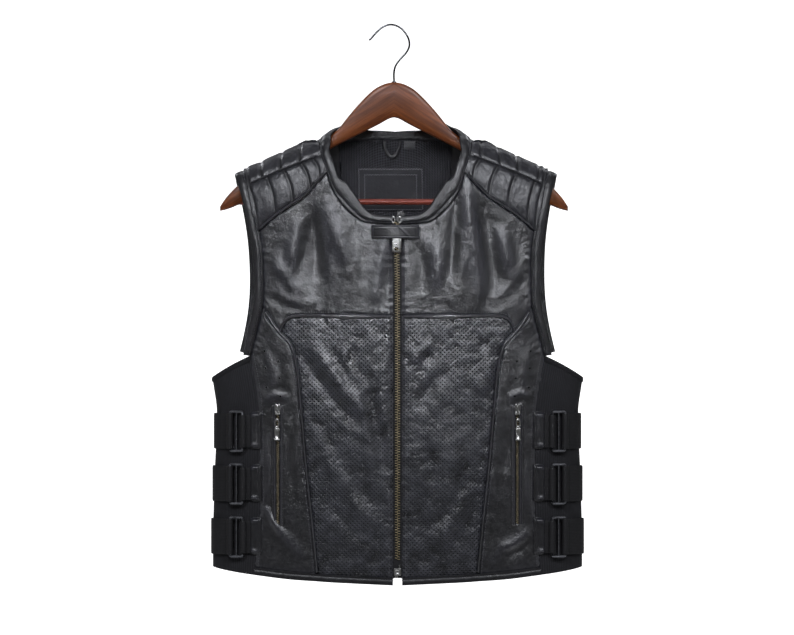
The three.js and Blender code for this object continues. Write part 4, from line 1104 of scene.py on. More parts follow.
@dataclass(frozen=True)
class RibbedCloth:
    """Woven or knitted black cloth with a rib.

    The rib is finer on the real cloth and is drawn as coarse as it needs to show. The
    eye gets a matt face with a faint line. Its colour is darker in the rib's hollows and in
    the open mesh's holes and lighter on its ridges: painted shade and painted light.
    """

    name: str
    dark: str
    light: str
    rib_mm: float
    axis: str
    roughness: float = 0.85
    sheen: float = 0.02
    shine: float = 0.2
    bump_mm: float = 0.25
    grit_mm: float = 14.0
    open_mesh: bool = False

    def build(self) -> Material:
        """Make the material.

        Returns:
            The material.
        """
        recipe = Recipe(self.name)
        cloth = recipe.places["UV"]
        if self.open_mesh:
            height = recipe.ramp(recipe.lattice(self.rib_mm, cloth), 0.2, 0.5)
        else:
            bands = {"Vector": cloth, "Scale": math.tau / (20 * self.rib_mm * MM), "Distortion": 0.15}
            height = recipe.add("ShaderNodeTexWave", {"bands_direction": self.axis}, bands).outputs["Fac"]
        # The colour follows the rib's height: painted shade in its hollows, painted light on its ridges.
        mixed = recipe.maths("MULTIPLY", height, recipe.noise(self.grit_mm, 6.0, 0.7))
        surface = {
            "Base Color": recipe.blend(recipe.ramp(mixed, 0.05, 0.6), self.dark, self.light),
            "Roughness": self.roughness,
            "Sheen Weight": self.sheen,
            "Sheen Roughness": 0.4,
            "Specular IOR Level": self.shine,
        }
        return recipe.finished(surface, height, self.bump_mm, 0.7)


@dataclass(frozen=True)
class Metal:
    """Cast and tumbled metal with its plating.

    The eye gets a soft bright edge, small scuffs in the shine and darker hollows.
    """

    name: str
    colour: str
    dull: str
    roughness: Edge
    scuff_mm: float = 3.0
    scuff_deep_mm: float = 0.02

    def build(self) -> Material:
        """Make the material.

        Returns:
            The material.
        """
        recipe = Recipe(self.name)
        scuff = recipe.noise(self.scuff_mm, 6.0, 0.65)
        surface = {
            "Base Color": recipe.blend(recipe.ramp(scuff, 0.35, 0.65), self.colour, self.dull),
            "Metallic": 1.0,
            "Roughness": recipe.ramp(scuff, 0.3, 0.7, *self.roughness),
        }
        return recipe.finished(surface, scuff, self.scuff_deep_mm, 0.5)


@dataclass(frozen=True)
class VarnishedWood:
    """Turned or sawn hardwood, stained and varnished.

    The eye gets long dark streaks along the arm, fine pores and a clear satin coat. A
    jointed piece has its grain run down each arm from the joint in the middle.
    """

    name: str
    dark: str
    light: str
    pore: str
    roughness: float = 0.38
    streak_mm: float = 5.0
    streak_squeeze: float = 0.06
    pore_mm: float = 0.9
    pore_deep_mm: float = 0.05
    jointed: bool = False
    joint_x_mm: float = 3.9
    arm_slope: float = 0.62
    shine: float = 0.2
    coat: float = 0.08
    coat_roughness: float = 0.18

    def build(self) -> Material:
        """Make the material.

        Returns:
            The material.
        """
        recipe = Recipe(self.name)
        place = recipe.places["Object"]
        if self.jointed:
            spot = recipe.add("ShaderNodeSeparateXYZ", None, {0: place}).outputs
            off = recipe.maths("SUBTRACT", spot[0], self.joint_x_mm * MM)
            fall = recipe.maths("MULTIPLY_ADD", recipe.maths("ABSOLUTE", off), self.arm_slope, spot[2])
            place = recipe.add("ShaderNodeCombineXYZ", None, {0: off, 1: spot[1], 2: fall}).outputs[0]
        drawn_out = {"Vector": place, "Scale": (self.streak_squeeze, 1.0, 1.0)}
        stretched = recipe.add("ShaderNodeMapping", None, drawn_out).outputs[0]
        streak = recipe.noise(self.streak_mm, 5.0, 0.5, stretched, 0.6)
        pores = recipe.noise(self.pore_mm, 3.0, 0.7, stretched)
        tone = recipe.blend(recipe.ramp(streak, 0.3, 0.7), self.dark, self.light)
        surface = {
            "Base Color": recipe.blend(recipe.ramp(pores, 0.56, 0.72, 0.0, 0.75), tone, self.pore),
            "Roughness": self.roughness,
            "Specular IOR Level": self.shine,
            "Coat Weight": self.coat,
            "Coat Roughness": self.coat_roughness,
        }
        return recipe.finished(surface, pores, self.pore_deep_mm, 0.5)


@dataclass(frozen=True)
class Paint:
    """Matt studio paint, even and pale."""

    name: str = "studio_paint"
    colour: str = "f4f4f4"
    shade: str = "f0f0f0"
    mottle_mm: float = 500.0
    glow: float = 0.3

    def build(self) -> Material:
        """Make the material.

        Returns:
            The material.
        """
        recipe = Recipe(self.name)
        recipe.feed(recipe.shader, {
            "Base Color": recipe.blend(recipe.noise(self.mottle_mm, 2.0), self.colour, self.shade),
            "Roughness": 0.9,
            "Emission Color": WHITE,
            "Emission Strength": self.glow,
        })
        return recipe.material


class Finish(Protocol):
    """A finish that can make its material."""

    def build(self) -> Material:
        """Make the material."""


def made(finish: Finish) -> Material:
    """A field whose material is made with its class."""
    return field(default_factory=finish.build)


@dataclass
class Finishes:
    """Every finish of the vest, its hanger and the studio."""

    grain: Material = made(GrainLeather())
    pierced: Material = made(PiercedLeather())
    trim: Material = made(GrainLeather(
        "binding_leather", "09090b", "151518", "2c2c32", (0.3, 0.46), 1.5, 4.0, 14.0, 0.9, 0.42,
    ))
    # The piping is the panels' own leather drawn lighter: a painted highlight along the beads.
    cord: Material = made(GrainLeather(
        "piping_leather", "101013", "232328", "3c3c43", (0.26, 0.38), 1.5, 4.0, 14.0, 0.5, 0.9,
    ))
    padded: Material = made(GrainLeather("quilted_leather", roughness=(0.3, 0.48), bump_mm=1.5, shine=0.38))
    dull: Material = made(GrainLeather("dull_label_leather", roughness=(0.45, 0.6), bump_mm=1.0, shine=0.2))
    stretch: Material = made(RibbedCloth("matt_stretch_knit", "121214", "1f1f22", 1.6, "X", bump_mm=0.1))
    elastic: Material = made(
        RibbedCloth("ribbed_elastic_webbing", "0d0d0e", "19191b", 1.9, "Y", 0.6, bump_mm=0.12)
    )
    mesh: Material = made(RibbedCloth("mesh_lining", "08080a", "2c2c30", 3.4, "X", open_mesh=True))
    # Black thread drawn mid grey, well lighter than the black leather: a painted sheen.
    thread: Material = made(
        RibbedCloth("bonded_black_thread", "2c2c30", "56565c", 0.5, "X", 0.45, shine=0.6)
    )
    # A still lighter copy for the label's border, which lies in shade inside the neck: painted light.
    pale_thread: Material = made(RibbedCloth("grey_thread", "5c5c62", "84848a", 0.5, "X", 0.5, shine=0.5))
    # Near-black plugs that paint the shade inside the vent holes, which are not cut.
    hollow: Material = made(RibbedCloth("dark_hollow", "020202", "060606", 0.5, "X", shine=0.0))
    gunmetal: Material = made(Metal("gunmetal_plating", "77787c", "4c4d51", (0.25, 0.38)))
    nickel: Material = made(Metal("tumbled_nickel", "9a9a98", "70706e", (0.24, 0.36)))
    chrome: Material = made(Metal("bright_chromed_wire", "5a5b5e", "3c3d40", (0.16, 0.24), 9.0))
    brass: Material = made(Metal("antique_brass", "8e836a", "4e4632", (0.3, 0.45), 1.5))
    mahogany: Material = made(VarnishedWood("stained_mahogany", "3e1c0a", "6c3a1a", "200e05", jointed=True))
    redwood: Material = made(VarnishedWood("turned_redwood", "4e1d15", "77372a", "2c100b", streak_mm=3.0))
    paint: Material = made(Paint())
    wall: Material = made(Paint("lit_wall_paint", glow=1.0))


def place_piece(obj: Object, finish: Material, nodes: Iterable[str] = (),
                body: str = "garment") -> Object:
    """Dress a piece, set it on its body and hide the solids that it stands for.

    Args:
        obj: The piece.
        finish: Its material.
        nodes: The solids that it replaces.
        body: The body that it moves with.

    Returns:
        The piece.
    """
    obj.data.materials.clear()
    obj.data.materials.append(finish)
    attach(obj, body)
    if nodes:
        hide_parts(*nodes)
    LOG.info("%s: %d faces", obj.name, len(obj.data.polygons))
    return obj


# Cloth panels


@dataclass(frozen=True)
class EdgeDips:
    """How far a panel's cloth sinks at each seam, in mm."""

    bottom: float = 1.9
    top: float = 1.9
    left: float = 1.9
    right: float = 1.9
    reach: float = 3.4
    pucker: float = 0.55
    pucker_reach: float = 8.0

    def lift(self, grid: Grid) -> Grid:
        """How far the cloth sinks and puckers towards its seams.

        Args:
            grid: The patch of surface coordinates.

        Returns:
            The lift of each patch point, mostly below zero.
        """
        total = np.zeros(grid.shape[:2])
        up, down, left, right = edge_distances(grid)
        level = ((self.bottom, up, left), (self.top, down, left))
        upright = ((self.left, left, up), (self.right, right, up))
        for depth, far, run in level + upright:
            total -= depth * np.exp(-((far / self.reach) ** 2))
            wave = np.sin(run / 1.7 + 2.2 * np.sin(run / 15)) * (0.6 + 0.4 * np.sin(run / 9.0))
            total -= self.pucker * wave * np.exp(-((far / self.pucker_reach) ** 2))
        return total


def rubbed(grid: Grid, relief: Grid, reach: float = 5.0) -> Grid:
    """How much lighter each patch point is drawn: along its edges and on its ridges.

    Args:
        grid: The patch of surface coordinates.
        relief: The lift of each point.
        reach: How far from an edge it is drawn lighter.

    Returns:
        How much lighter it is drawn, from 0 to 1.
    """
    nearest = np.minimum.reduce(edge_distances(grid))
    ridge = np.clip(relief / 1.6, 0, 1)
    return np.clip(0.75 * np.exp(-((nearest - 1.5) / reach) ** 2) + 0.8 * ridge, 0, 1)


@dataclass
class Panel:
    """One cut panel of thin cloth on the body surface."""

    name: str
    grid: Grid
    thick: float
    side: int = 1
    dips: EdgeDips = EdgeDips()
    relief: Relief = Relief()
    rise: float = 0.0
    lap: float = 1.3

    def build(self) -> Object:
        """Build the panel's thin wall.

        Returns:
            The panel.
        """
        grid = inset(self.grid, -self.lap)
        u, w = grid[..., 0] * self.side, grid[..., 1]
        small = self.relief.lift(u, w)
        lift = self.rise + small + self.dips.lift(grid)
        uv = np.stack([u, BODY.height(u, w)], axis=-1)
        return wall_on_body(self.name, u, w, (lift, lift - self.thick), uv, rubbed(grid, small))


@dataclass(frozen=True)
class Leather:
    """Where the leather creases, on each side, as seen in the picture."""

    front: tuple[Crease, ...] = (
        Crease(((-12, -268), (-24, -310), (-30, -360)), 2.2, 10),
        Crease(((-88, -222), (-80, -262), (-64, -312)), 3.6, 11),
        Crease(((-110, -236), (-104, -290), (-106, -335)), -3.4, 10),
        Crease(((-128, -250), (-134, -290), (-140, -330)), 2.8, 9),
        Crease(((-160, -290), (-150, -320), (-118, -352)), 1.4, 7),
        Crease(((-168, -350), (-140, -366), (-100, -372)), -1.2, 6),
        Crease(((16, -275), (30, -305), (34, -350)), -1.8, 10),
        Crease(((46, -268), (54, -305), (46, -350)), 2.0, 10),
        Crease(((80, -200), (74, -260), (68, -335)), -3.6, 9),
        Crease(((88, -200), (98, -262), (110, -356)), 4.2, 10),
        Crease(((132, -258), (140, -290), (146, -330)), 3.0, 9),
        Crease(((170, -300), (150, -330), (120, -362)), 1.2, 7),
        Crease(((-112, -414), (-90, -438), (-66, -474), (-36, -506)), 2.5, 7),
        Crease(((-124, -424), (-88, -478), (-46, -524)), -2.8, 8),
        Crease(((-74, -420), (-54, -470), (-36, -540), (-30, -600)), 2.8, 9),
        Crease(((-60, -610), (-38, -640), (-22, -650)), 2.0, 12),
        Crease(((-112, -520), (-80, -580), (-40, -640)), 1.5, 9),
        Crease(((-104, -620), (-70, -660), (-30, -690)), 1.1, 9),
        Crease(((-14, -400), (-20, -470), (-14, -540)), 1.2, 7),
        Crease(((44, -410), (30, -424), (18, -438)), 2.4, 7),
        Crease(((64, -452), (46, -462), (30, -500)), -2.6, 9),
        Crease(((112, -420), (118, -440), (108, -480)), 2.2, 9),
        Crease(((22, -540), (28, -575), (36, -610)), 2.6, 9),
        Crease(((84, -600), (74, -640), (40, -680)), 2.2, 10),
        Crease(((100, -560), (70, -620), (24, -668)), -1.2, 9),
        Crease(((14, -620), (22, -670), (16, -708)), 1.0, 7),
        Crease(((-172, -420), (-160, -452), (-166, -500)), 1.3, 6),
        Crease(((-171, -622), (-160, -643), (-148, -660)), 3.2, 4),
        Crease(((-176, -486), (-156, -480), (-138, -484)), 1.6, 5),
        Crease(((176, -482), (158, -478), (140, -486)), 1.6, 5),
        Crease(((172, -655), (150, -672), (128, -676)), 2.2, 6),
        Crease(((-134, -500), (-140, -560), (-132, -620)), -1.2, 5),
        Crease(((-168, -640), (-140, -668), (-118, -690)), 1.2, 7),
        Crease(((172, -420), (162, -456), (168, -505)), 1.2, 6),
        Crease(((136, -470), (142, -540), (134, -600)), -1.2, 5),
        Crease(((170, -650), (144, -672), (118, -700)), 1.2, 7),
        Crease(((-170, -530), (-167, -585), (-172, -640)), 1.0, 4),
        Crease(((170, -530), (167, -585), (172, -640)), 1.0, 4),
    )
    behind: tuple[Crease, ...] = (
        Crease(((-60, -170), (-80, -230), (-84, -300)), 2.9, 9, Sheet.BACK),
        Crease(((62, -172), (84, -235), (86, -310)), 2.9, 9, Sheet.BACK),
        Crease(((-150, -220), (-130, -280), (-90, -330)), 2.6, 8, Sheet.BACK),
        Crease(((150, -225), (128, -285), (92, -340)), 2.6, 8, Sheet.BACK),
        Crease(((0, -180), (6, -260), (-4, -350)), -2.4, 12, Sheet.BACK),
        Crease(((-170, -440), (-120, -470), (-60, -480)), 3.0, 7, Sheet.BACK),
        Crease(((170, -450), (120, -478), (52, -486)), 3.0, 7, Sheet.BACK),
        Crease(((-160, -520), (-110, -540), (-70, -536)), -2.4, 7, Sheet.BACK),
        Crease(((160, -525), (112, -548), (64, -540)), -2.4, 7, Sheet.BACK),
        Crease(((-40, -400), (-30, -470), (-44, -560)), 2.4, 10, Sheet.BACK),
        Crease(((36, -410), (30, -480), (42, -570)), 2.2, 10, Sheet.BACK),
        Crease(((-150, -600), (-110, -640), (-90, -700)), 2.1, 8, Sheet.BACK),
        Crease(((150, -610), (112, -646), (96, -704)), 2.1, 8, Sheet.BACK),
    )


def leather_relief() -> Relief:
    """The relief of all the leather panels."""
    leather = Leather()
    return Relief(leather.front + leather.behind)


@dataclass
class FrontPanels:
    """The two fronts: an upper, a pierced lower and a side panel each, with piping."""

    thick: float = 1.6
    per_step: int = 8
    piping_half: float = 1.9
    piping_foot: float = -1.5
    piping_rise: float = 3.9
    relief: Relief = field(default_factory=leather_relief)

    def patches(self) -> dict[str, Grid]:
        """The three panels' patches of surface coordinates, for the right side.

        Returns:
            Each panel's patch by the word of its node.
        """
        n, line = self.per_step, SEAMS.line
        high, low = line(SEAMS.princess_high, 3 * n), line(SEAMS.princess_low, 14 * n)
        chest, yoke = line(SEAMS.arm_chest, 8 * n), line(SEAMS.yoke, 11 * n)
        neck = line(SEAMS.neck_front, 8 * n)
        hem = line(SEAMS.hem_inner, 11 * n, SEAMS.hem_strip)
        upper = patch(
            joined(yoke, high, straight(high[-1], chest[0], n)),
            joined(neck, line(SEAMS.lower_shoulder, 7 * n)),
            straight(yoke[0], neck[0], 8 * n),
            chest,
        )
        lower = patch(hem, yoke, straight(hem[0], yoke[0], 14 * n), low)
        flank = patch(
            line(SEAMS.hem_outer, 5 * n, SEAMS.hem_strip),
            straight(high[-1], chest[0], 5 * n),
            joined(low, high),
            joined(line(SEAMS.side_front, 12 * n), line(SEAMS.arm_low, 5 * n)),
        )
        return {"front_upper": upper, "front_lower": lower, "side_front": flank}

    def build(self, finishes: Finishes) -> None:
        """Build and dress both fronts.

        Args:
            finishes: The finishes to dress with.
        """
        for side in Side:
            for node, grid in self.patches().items():
                cloth = finishes.pierced if node == "front_lower" else finishes.grain
                panel = Panel(f"{node}_panel_{side.tag}", grid, self.thick, side.value, relief=self.relief)
                place_piece(panel.build(), cloth, [f"{node}_{side.tag}"])
            self.piping(side, finishes)

    def piping(self, side: Side, finishes: Finishes) -> None:
        """Build the piping of the yoke and the princess seam.

        Args:
            side: The side of the vest.
            finishes: The finishes to dress with.
        """
        yoke = SEAMS.line(SEAMS.yoke, 80)
        princess = joined(SEAMS.line(SEAMS.princess_low, 150), SEAMS.line(SEAMS.princess_high, 20))
        for word, line in (("yoke", yoke[1:]), ("princess", princess[1:-1])):
            name = f"{word}_piping_{side.tag}"
            nodes = [f"piping_front_{side.tag}"]
            bead = bead_piece(name, line, side, self.piping_half, self.piping_foot, self.piping_rise)
            place_piece(bead, finishes.cord, nodes)


def bead_piece(name: str, line: Grid, side: Side, half: float, foot: float, rise: float,
               sides: int = 9) -> Object:
    """Build a rounded bead along a seam.

    Args:
        name: The piece's name.
        line: The seam as surface coordinates.
        side: The side of the vest.
        half: Half its width in mm.
        foot: Lift of its foot off the surface.
        rise: Lift of its crown off the surface.
        sides: How many points its round has.

    Returns:
        The bead.
    """
    across = leftward(ways(line))
    turn = np.linspace(math.pi, 0, sides)
    share, high = np.cos(turn) * half, np.sin(turn)
    share, high = np.append(share, [half * 0.5, -half * 0.5]), np.append(high, [0.0, 0.0])
    spots = line[:, None] + across[:, None] * share[None, :, None]
    run = along(line)
    pucker = 1 + 0.10 * np.sin(run / 3.1) * np.sin(run / 11.0)
    lift = foot + (rise - foot) * high[None, :] * pucker[:, None]
    rings = BODY.point(spots[..., 0] * side.value, spots[..., 1], lift)
    return tube(name, rings)


@dataclass(frozen=True)
class QuiltRow:
    """One padded shoulder row: its nodes' word and its channels as shares from the neck."""

    node: str
    left: tuple[float, ...]
    right: tuple[float, ...]


@dataclass
class ShoulderQuilting:
    """Two padded rows over each shoulder, sewn down in channels, between pipings."""

    rows: tuple[QuiltRow, ...] = (
        QuiltRow("shoulder_front_row", (0.11, 0.27, 0.51, 0.745), (0.13, 0.376, 0.626, 0.889)),
        QuiltRow("shoulder_top_row", (0.294, 0.559, 0.823), (0.15, 0.406, 0.651, 0.93)),
    )
    per_step: int = 8
    rise: float = 4.1
    base: float = 2.4
    under: float = 1.6
    channel_mm: float = 0.85
    seam_mm: float = 4.5
    pucker: float = 0.14
    fill: float = 0.35
    piping_half: float = 1.8
    piping_foot: float = 0.4
    piping_rise: float = 5.7
    relief: Relief = Relief(broad=0.5, broad_size=(13.0, 16.0), fine=0.22, fine_size=(5.0, 6.0))

    def grid(self, node: str) -> Grid:
        """The row's patch of surface coordinates, for the right side.

        Args:
            node: The word of the row's node.

        Returns:
            The patch.
        """
        n, line = self.per_step, SEAMS.line
        upper = line(SEAMS.upper_shoulder, 14 * n)
        if node == "shoulder_front_row":
            lower = line(SEAMS.lower_shoulder, 14 * n)
            return patch(lower, upper, line(SEAMS.neck_shoulder, 4 * n), line(SEAMS.arm_shoulder, 4 * n))
        rear = line(SEAMS.rear_shoulder, 14 * n)
        return patch(upper, rear, line(SEAMS.neck_top, 5 * n), line(SEAMS.arm_top, 5 * n))

    def row(self, spec: QuiltRow, side: Side) -> Object:
        """Build one padded row.

        Args:
            spec: The row's channels.
            side: The side of the vest.

        Returns:
            The row.
        """
        grid = inset(self.grid(spec.node), -0.8)
        rows, cols = grid.shape[:2]
        up, down, left, right = edge_distances(grid)
        share = np.linspace(0, 1, cols)[None, :] * np.ones((rows, 1))
        lean = 0.03 * np.sin(np.linspace(0, math.pi, rows))[:, None]
        marks = np.array([0.0, *(spec.left if side is Side.LEFT else spec.right), 1.0])
        width = float(right[0, 0] + left[0, -1]) / 2
        far = np.min(np.abs(share[..., None] + lean[..., None] - marks), axis=-1) * width
        seam = np.minimum(up, down)
        crown = (1 - np.exp(-((far / (2.6 * self.channel_mm)) ** 2))) ** 0.8
        rim = (1 - np.exp(-((seam / self.seam_mm) ** 2))) ** 0.7
        wave = np.sin(share * width / 2.6 + 3 * np.sin(share * 9)) * np.exp(-((seam / 7) ** 2))
        drawn = 1 - self.pucker * wave * crown
        u, w = grid[..., 0] * side.value, grid[..., 1]
        lift = self.base + (self.rise - self.base) * crown * rim * drawn
        lift = lift + self.relief.lift(u, w) * crown * rim
        outer, inner = BODY.point(u, w, lift), BODY.point(u, w, -self.under)
        # The pads' crowns are drawn lighter than the sewn channels and seams.
        rub = np.clip(crown * rim * 0.5 + wave * 0.2, 0, 1)
        return shell(f"{spec.node}_quilt_{side.tag}", outer, inner, np.stack([u, w], axis=-1), rub, 70.0)

    def build(self, finishes: Finishes) -> None:
        """Build the rows and the pipings between them.

        Args:
            finishes: The finishes to dress with.
        """
        lines = {"lower": SEAMS.lower_shoulder, "upper": SEAMS.upper_shoulder, "rear": SEAMS.rear_shoulder}
        for side in Side:
            for spec in self.rows:
                padding = self.row(spec, side)
                place_piece(padding, finishes.padded, [f"{spec.node}_{side.tag}"])
            for word, table in lines.items():
                bead = bead_piece(
                    f"{word}_shoulder_piping_{side.tag}", SEAMS.line(table, 90)[3:-3], side,
                    self.piping_half, self.piping_foot, self.piping_rise,
                )
                place_piece(bead, finishes.cord, [f"piping_shoulder_{word}_{side.tag}"])


@dataclass
class BackPanel:
    """The one-piece back and its mesh lining behind the neck."""

    thick: float = 1.6
    per_step: int = 9
    waist: float = -410.0
    lining_face: float = -2.3
    lining_thick: float = 1.0
    relief: Relief = field(default_factory=leather_relief)

    def half(self, n: int) -> Grid:
        """Half the back's patch of surface coordinates.

        Args:
            n: How finely it is divided.

        Returns:
            The patch, from the centre to the side.
        """
        top = joined(SEAMS.line(SEAMS.neck_back, 8 * n), SEAMS.line(SEAMS.rear_shoulder, 7 * n))
        low, high = SEAMS.hem_back[0][1] + SEAMS.hem_strip, SEAMS.neck_back[0][1]
        below = low + (self.waist - low) * np.linspace(0, 1, 7 * n + 1)
        above = high + (self.waist - high) * (1 - np.linspace(0, 1, 8 * n + 1)[1:]) ** 1.7
        heights = np.concatenate([below, above])
        middle = np.zeros_like(heights)
        centre = np.stack([middle, BODY.run(middle, heights, Sheet.BACK)], axis=1)
        outer = joined(SEAMS.line(SEAMS.side_back, 7 * n), SEAMS.line(SEAMS.arm_back, 8 * n))
        return patch(SEAMS.line(SEAMS.hem_back, 15 * n, SEAMS.hem_strip), top, centre, outer)

    def whole(self, half: Grid) -> Grid:
        """A half patch with its mirrored half.

        Args:
            half: The half patch.

        Returns:
            The whole patch.
        """
        other = half[:, :0:-1].copy()
        other[..., 0] *= -1
        return np.concatenate([other, half], axis=1)

    def build(self, finishes: Finishes) -> None:
        """Build and dress the back and its lining.

        Args:
            finishes: The finishes to dress with.
        """
        grid = self.whole(self.half(self.per_step))
        back_panel = Panel("back_panel", grid, self.thick, relief=self.relief)
        place_piece(back_panel.build(), finishes.grain, ["back"])
        half = self.half(3)
        half = half[9:, : 5 * 3 + 1]
        lined = inset(self.whole(half), 1.6)
        u, w = lined[..., 0], lined[..., 1]
        creased = Relief(broad=0.9, broad_size=(22.0, 34.0), fine=0.2).lift(u, w)
        face = self.lining_face - np.clip(creased, -0.2, 2.0)
        lifts = (face, face - self.lining_thick)
        lining = wall_on_body("back_neck_lining", u, w, lifts, np.stack([u, w], axis=-1))
        place_piece(lining, finishes.mesh, ["back_lining"])


@dataclass
class StretchSides:
    """The stretch cloth panels wrapped round both sides."""

    thick: float = 1.4
    face: float = -0.1
    rows: int = 72
    cols: int = 48
    underarm_low: float = -457.0
    hem_low: float = -702.5
    fold_half: float = 3.2
    hem_ends: Edge = (-712.3, -707.8)

    def edge(self, start: Grid, end: Grid, low: float) -> Grid:
        """An edge that dips between the two side seams.

        Args:
            start: Its first point.
            end: Its last point.
            low: The height of its dip.

        Returns:
            Its points as angles and heights.
        """
        t = np.linspace(0, 1, self.cols + 1)
        level = start[1] + (end[1] - start[1]) * t
        dip = (low - (start[1] + end[1]) / 2) * np.sin(math.pi * t)
        return np.stack([start[0] + (end[0] - start[0]) * t, level + dip], axis=1)

    def grid(self) -> Grid:
        """The panel's patch as angles round the side and heights.

        Returns:
            The patch.
        """
        edges = []
        seams = ((SEAMS.side_front, Sheet.FRONT), (SEAMS.side_back, Sheet.BACK))
        for (table, sheet), hem in zip(seams, self.hem_ends):
            line = SEAMS.line(table, self.rows)
            z = BODY.height(line[:, 0], line[:, 1])
            edge = np.stack([BODY.side_angle(line[:, 0], z, sheet), z], axis=1)
            edge[0, 1] = hem
            edges.append(edge)
        ahead, behind = edges
        bottom = self.edge(ahead[0], behind[0], self.hem_low)
        top = self.edge(ahead[-1], behind[-1], self.underarm_low)
        return patch(bottom, top, ahead, behind)

    def build(self, finishes: Finishes) -> None:
        """Build and dress both panels.

        Args:
            finishes: The finishes to dress with.
        """
        grid = self.grid()
        angle, z = grid[..., 0], grid[..., 1]
        turn = np.linspace(0, 1, self.cols + 1)[None, :]
        sag = 0.9 * np.sin(2 * math.pi * turn * 1.5 + z / 40) * np.sin(math.pi * turn)
        tuck = -1.1 * np.exp(-((np.minimum(turn, 1 - turn) / 0.05) ** 2))
        round_it = 110.0 * turn * np.ones_like(z)
        for side in Side:
            lift = self.face + tuck + np.minimum(sag, 0.6)
            outer = BODY.on_side(side, angle, z, lift)
            inner = BODY.on_side(side, angle, z, lift - self.thick)
            panel = shell(f"stretch_panel_{side.tag}", outer, inner, np.stack([round_it, z], axis=-1))
            place_piece(panel, finishes.stretch, [f"stretch_side_{side.tag}"])
            self.underarm_fold(side, grid[-1], finishes)

    def underarm_fold(self, side: Side, line: Grid, finishes: Finishes) -> None:
        """Fold a narrow strip of the knit over the panel's top edge.

        Args:
            side: The side of the vest.
            line: The top edge as angles and heights.
            finishes: The finishes.
        """
        turn = np.linspace(0, math.tau, 14, endpoint=False)
        line = resample(line, 60)
        rings = []
        for angle in turn:
            high = line[:, 1] - self.fold_half + (self.fold_half + 0.6) * math.sin(angle)
            lift = self.face - self.thick / 2 + (self.thick / 2 + 1.0) * math.cos(angle)
            rings.append(BODY.on_side(side, line[:, 0], high, lift))
        fold = tube(f"underarm_fold_{side.tag}", np.stack(rings, axis=1))
        place_piece(fold, finishes.stretch)


@dataclass
class Bindings:
    """The folded leather strips round the neck and armholes, and the folded hems."""

    out: float = 1.7
    under: float = -2.6
    gap: float = 0.5
    wrinkle: float = 0.2
    crown: tuple[Edge, ...] = (
        (1.04, 0.1), (0.98, 0.8), (0.88, 0.95), (0.8, 0.4), (0.72, 0.95), (0.45, 1.1), (0.14, 0.9),
        (0.03, 0.45),
    )
    hem_section: tuple[Edge, ...] = (
        (1.05, -0.6), (0.97, 0.9), (0.83, 0.95), (0.7, 0.35), (0.6, 0.95), (0.2, 0.8), (0.0, 0.1),
        (0.0, -1.4), (0.1, -2.1), (0.6, -2.1), (0.97, -2.1),
    )

    def ring(self, edge: Grid, seam: Grid, side: int) -> Grid:
        """Rings of the strip's section from its edge and seam lines.

        Args:
            edge: The strip's free edge as surface points.
            seam: Its sewn edge as surface points.
            side: The side of the vest, as -1 or 1.

        Returns:
            The rings, as rings by points by 3.
        """
        way = seam - edge
        length = np.linalg.norm(way, axis=1)
        near = 1 - self.gap / length
        run = along(edge)
        wave = np.sin(run / 2.9 + 1.7 * np.sin(run / 17)) + 0.6 * np.sin(run / 5.3 + 1.0)
        wave = self.wrinkle * wave
        points = []
        for k, (share, lift) in enumerate(self.crown):
            swell = lift * self.out + wave * (1.0 if 0 < k < 5 else 0.3)
            points.append((edge + way * share, swell))
        for share, lift in ((0.0, 0.0), (0.0, -1.2), (0.1, self.under), (0.6, self.under)):
            points.append((edge + way * share, np.full(len(edge), lift)))
        points.append((edge + way * near[:, None], np.full(len(edge), self.under)))
        return np.stack([BODY.point(at[:, 0] * side, at[:, 1], lift) for at, lift in points], axis=1)

    def build(self, finishes: Finishes) -> None:
        """Build and dress the bindings and hems.

        Args:
            finishes: The finishes to dress with.
        """
        edge, seam = SEAMS.neck_lines(7)
        left, right = self.ring(edge, seam, -1), self.ring(edge, seam, 1)
        rings = np.concatenate([left[:-1], right[::-1]])
        place_piece(tube("neck_binding_strip", rings), finishes.trim, ["neck_binding"])
        arm_edge, arm_seam = SEAMS.arm_lines(150)
        for side in Side:
            strip = tube(f"armhole_strip_{side.tag}", self.ring(arm_edge, arm_seam, side.value))
            place_piece(strip, finishes.trim, [f"armhole_binding_{side.tag}"])
        self.hems(finishes)

    def hems(self, finishes: Finishes) -> None:
        """Build the folded strips along the bottom edge.

        Args:
            finishes: The finishes to dress with.
        """
        drop = SEAMS.hem_strip
        ahead = joined(SEAMS.line(SEAMS.hem_inner, 70, drop), SEAMS.line(SEAMS.hem_outer, 60, drop))
        behind = SEAMS.line(SEAMS.hem_back, 110, drop)
        behind = np.concatenate([(behind * (-1, 1))[:0:-1], behind])
        for name, seam, way, side in (
            ("hem_front_left", ahead, -1, -1), ("hem_front_right", ahead, -1, 1), ("hem_back", behind, 1, 1)
        ):
            edge = seam + np.array([0.0, way * drop])
            strip = tube(f"{name}_strip", self.hem_rings(edge, seam, side))
            place_piece(strip, finishes.trim, [name])

    def hem_rings(self, edge: Grid, seam: Grid, side: int) -> Grid:
        """Rings of a hem's folded section.

        Args:
            edge: The strip's free edge as surface points.
            seam: Its sewn edge as surface points.
            side: The side of the vest, as -1 or 1.

        Returns:
            The rings, as rings by points by 3.
        """
        run = along(edge)
        wave = 0.16 * np.sin(run / 3.3 + 2 * np.sin(run / 23))
        points = []
        for k, (share, lift) in enumerate(self.hem_section):
            at = edge + (seam - edge) * share
            points.append(BODY.point(at[:, 0] * side, at[:, 1], lift + wave * (1.0 if 1 <= k <= 4 else 0.0)))
        return np.stack(points, axis=1)


# Shaping by hand


def named(name: str) -> Object:
    """Name the object just added, and settle its form.

    Args:
        name: The object's name.

    Returns:
        The object.
    """
    added = bpy.context.object
    added.name = name
    settle(added)
    return added


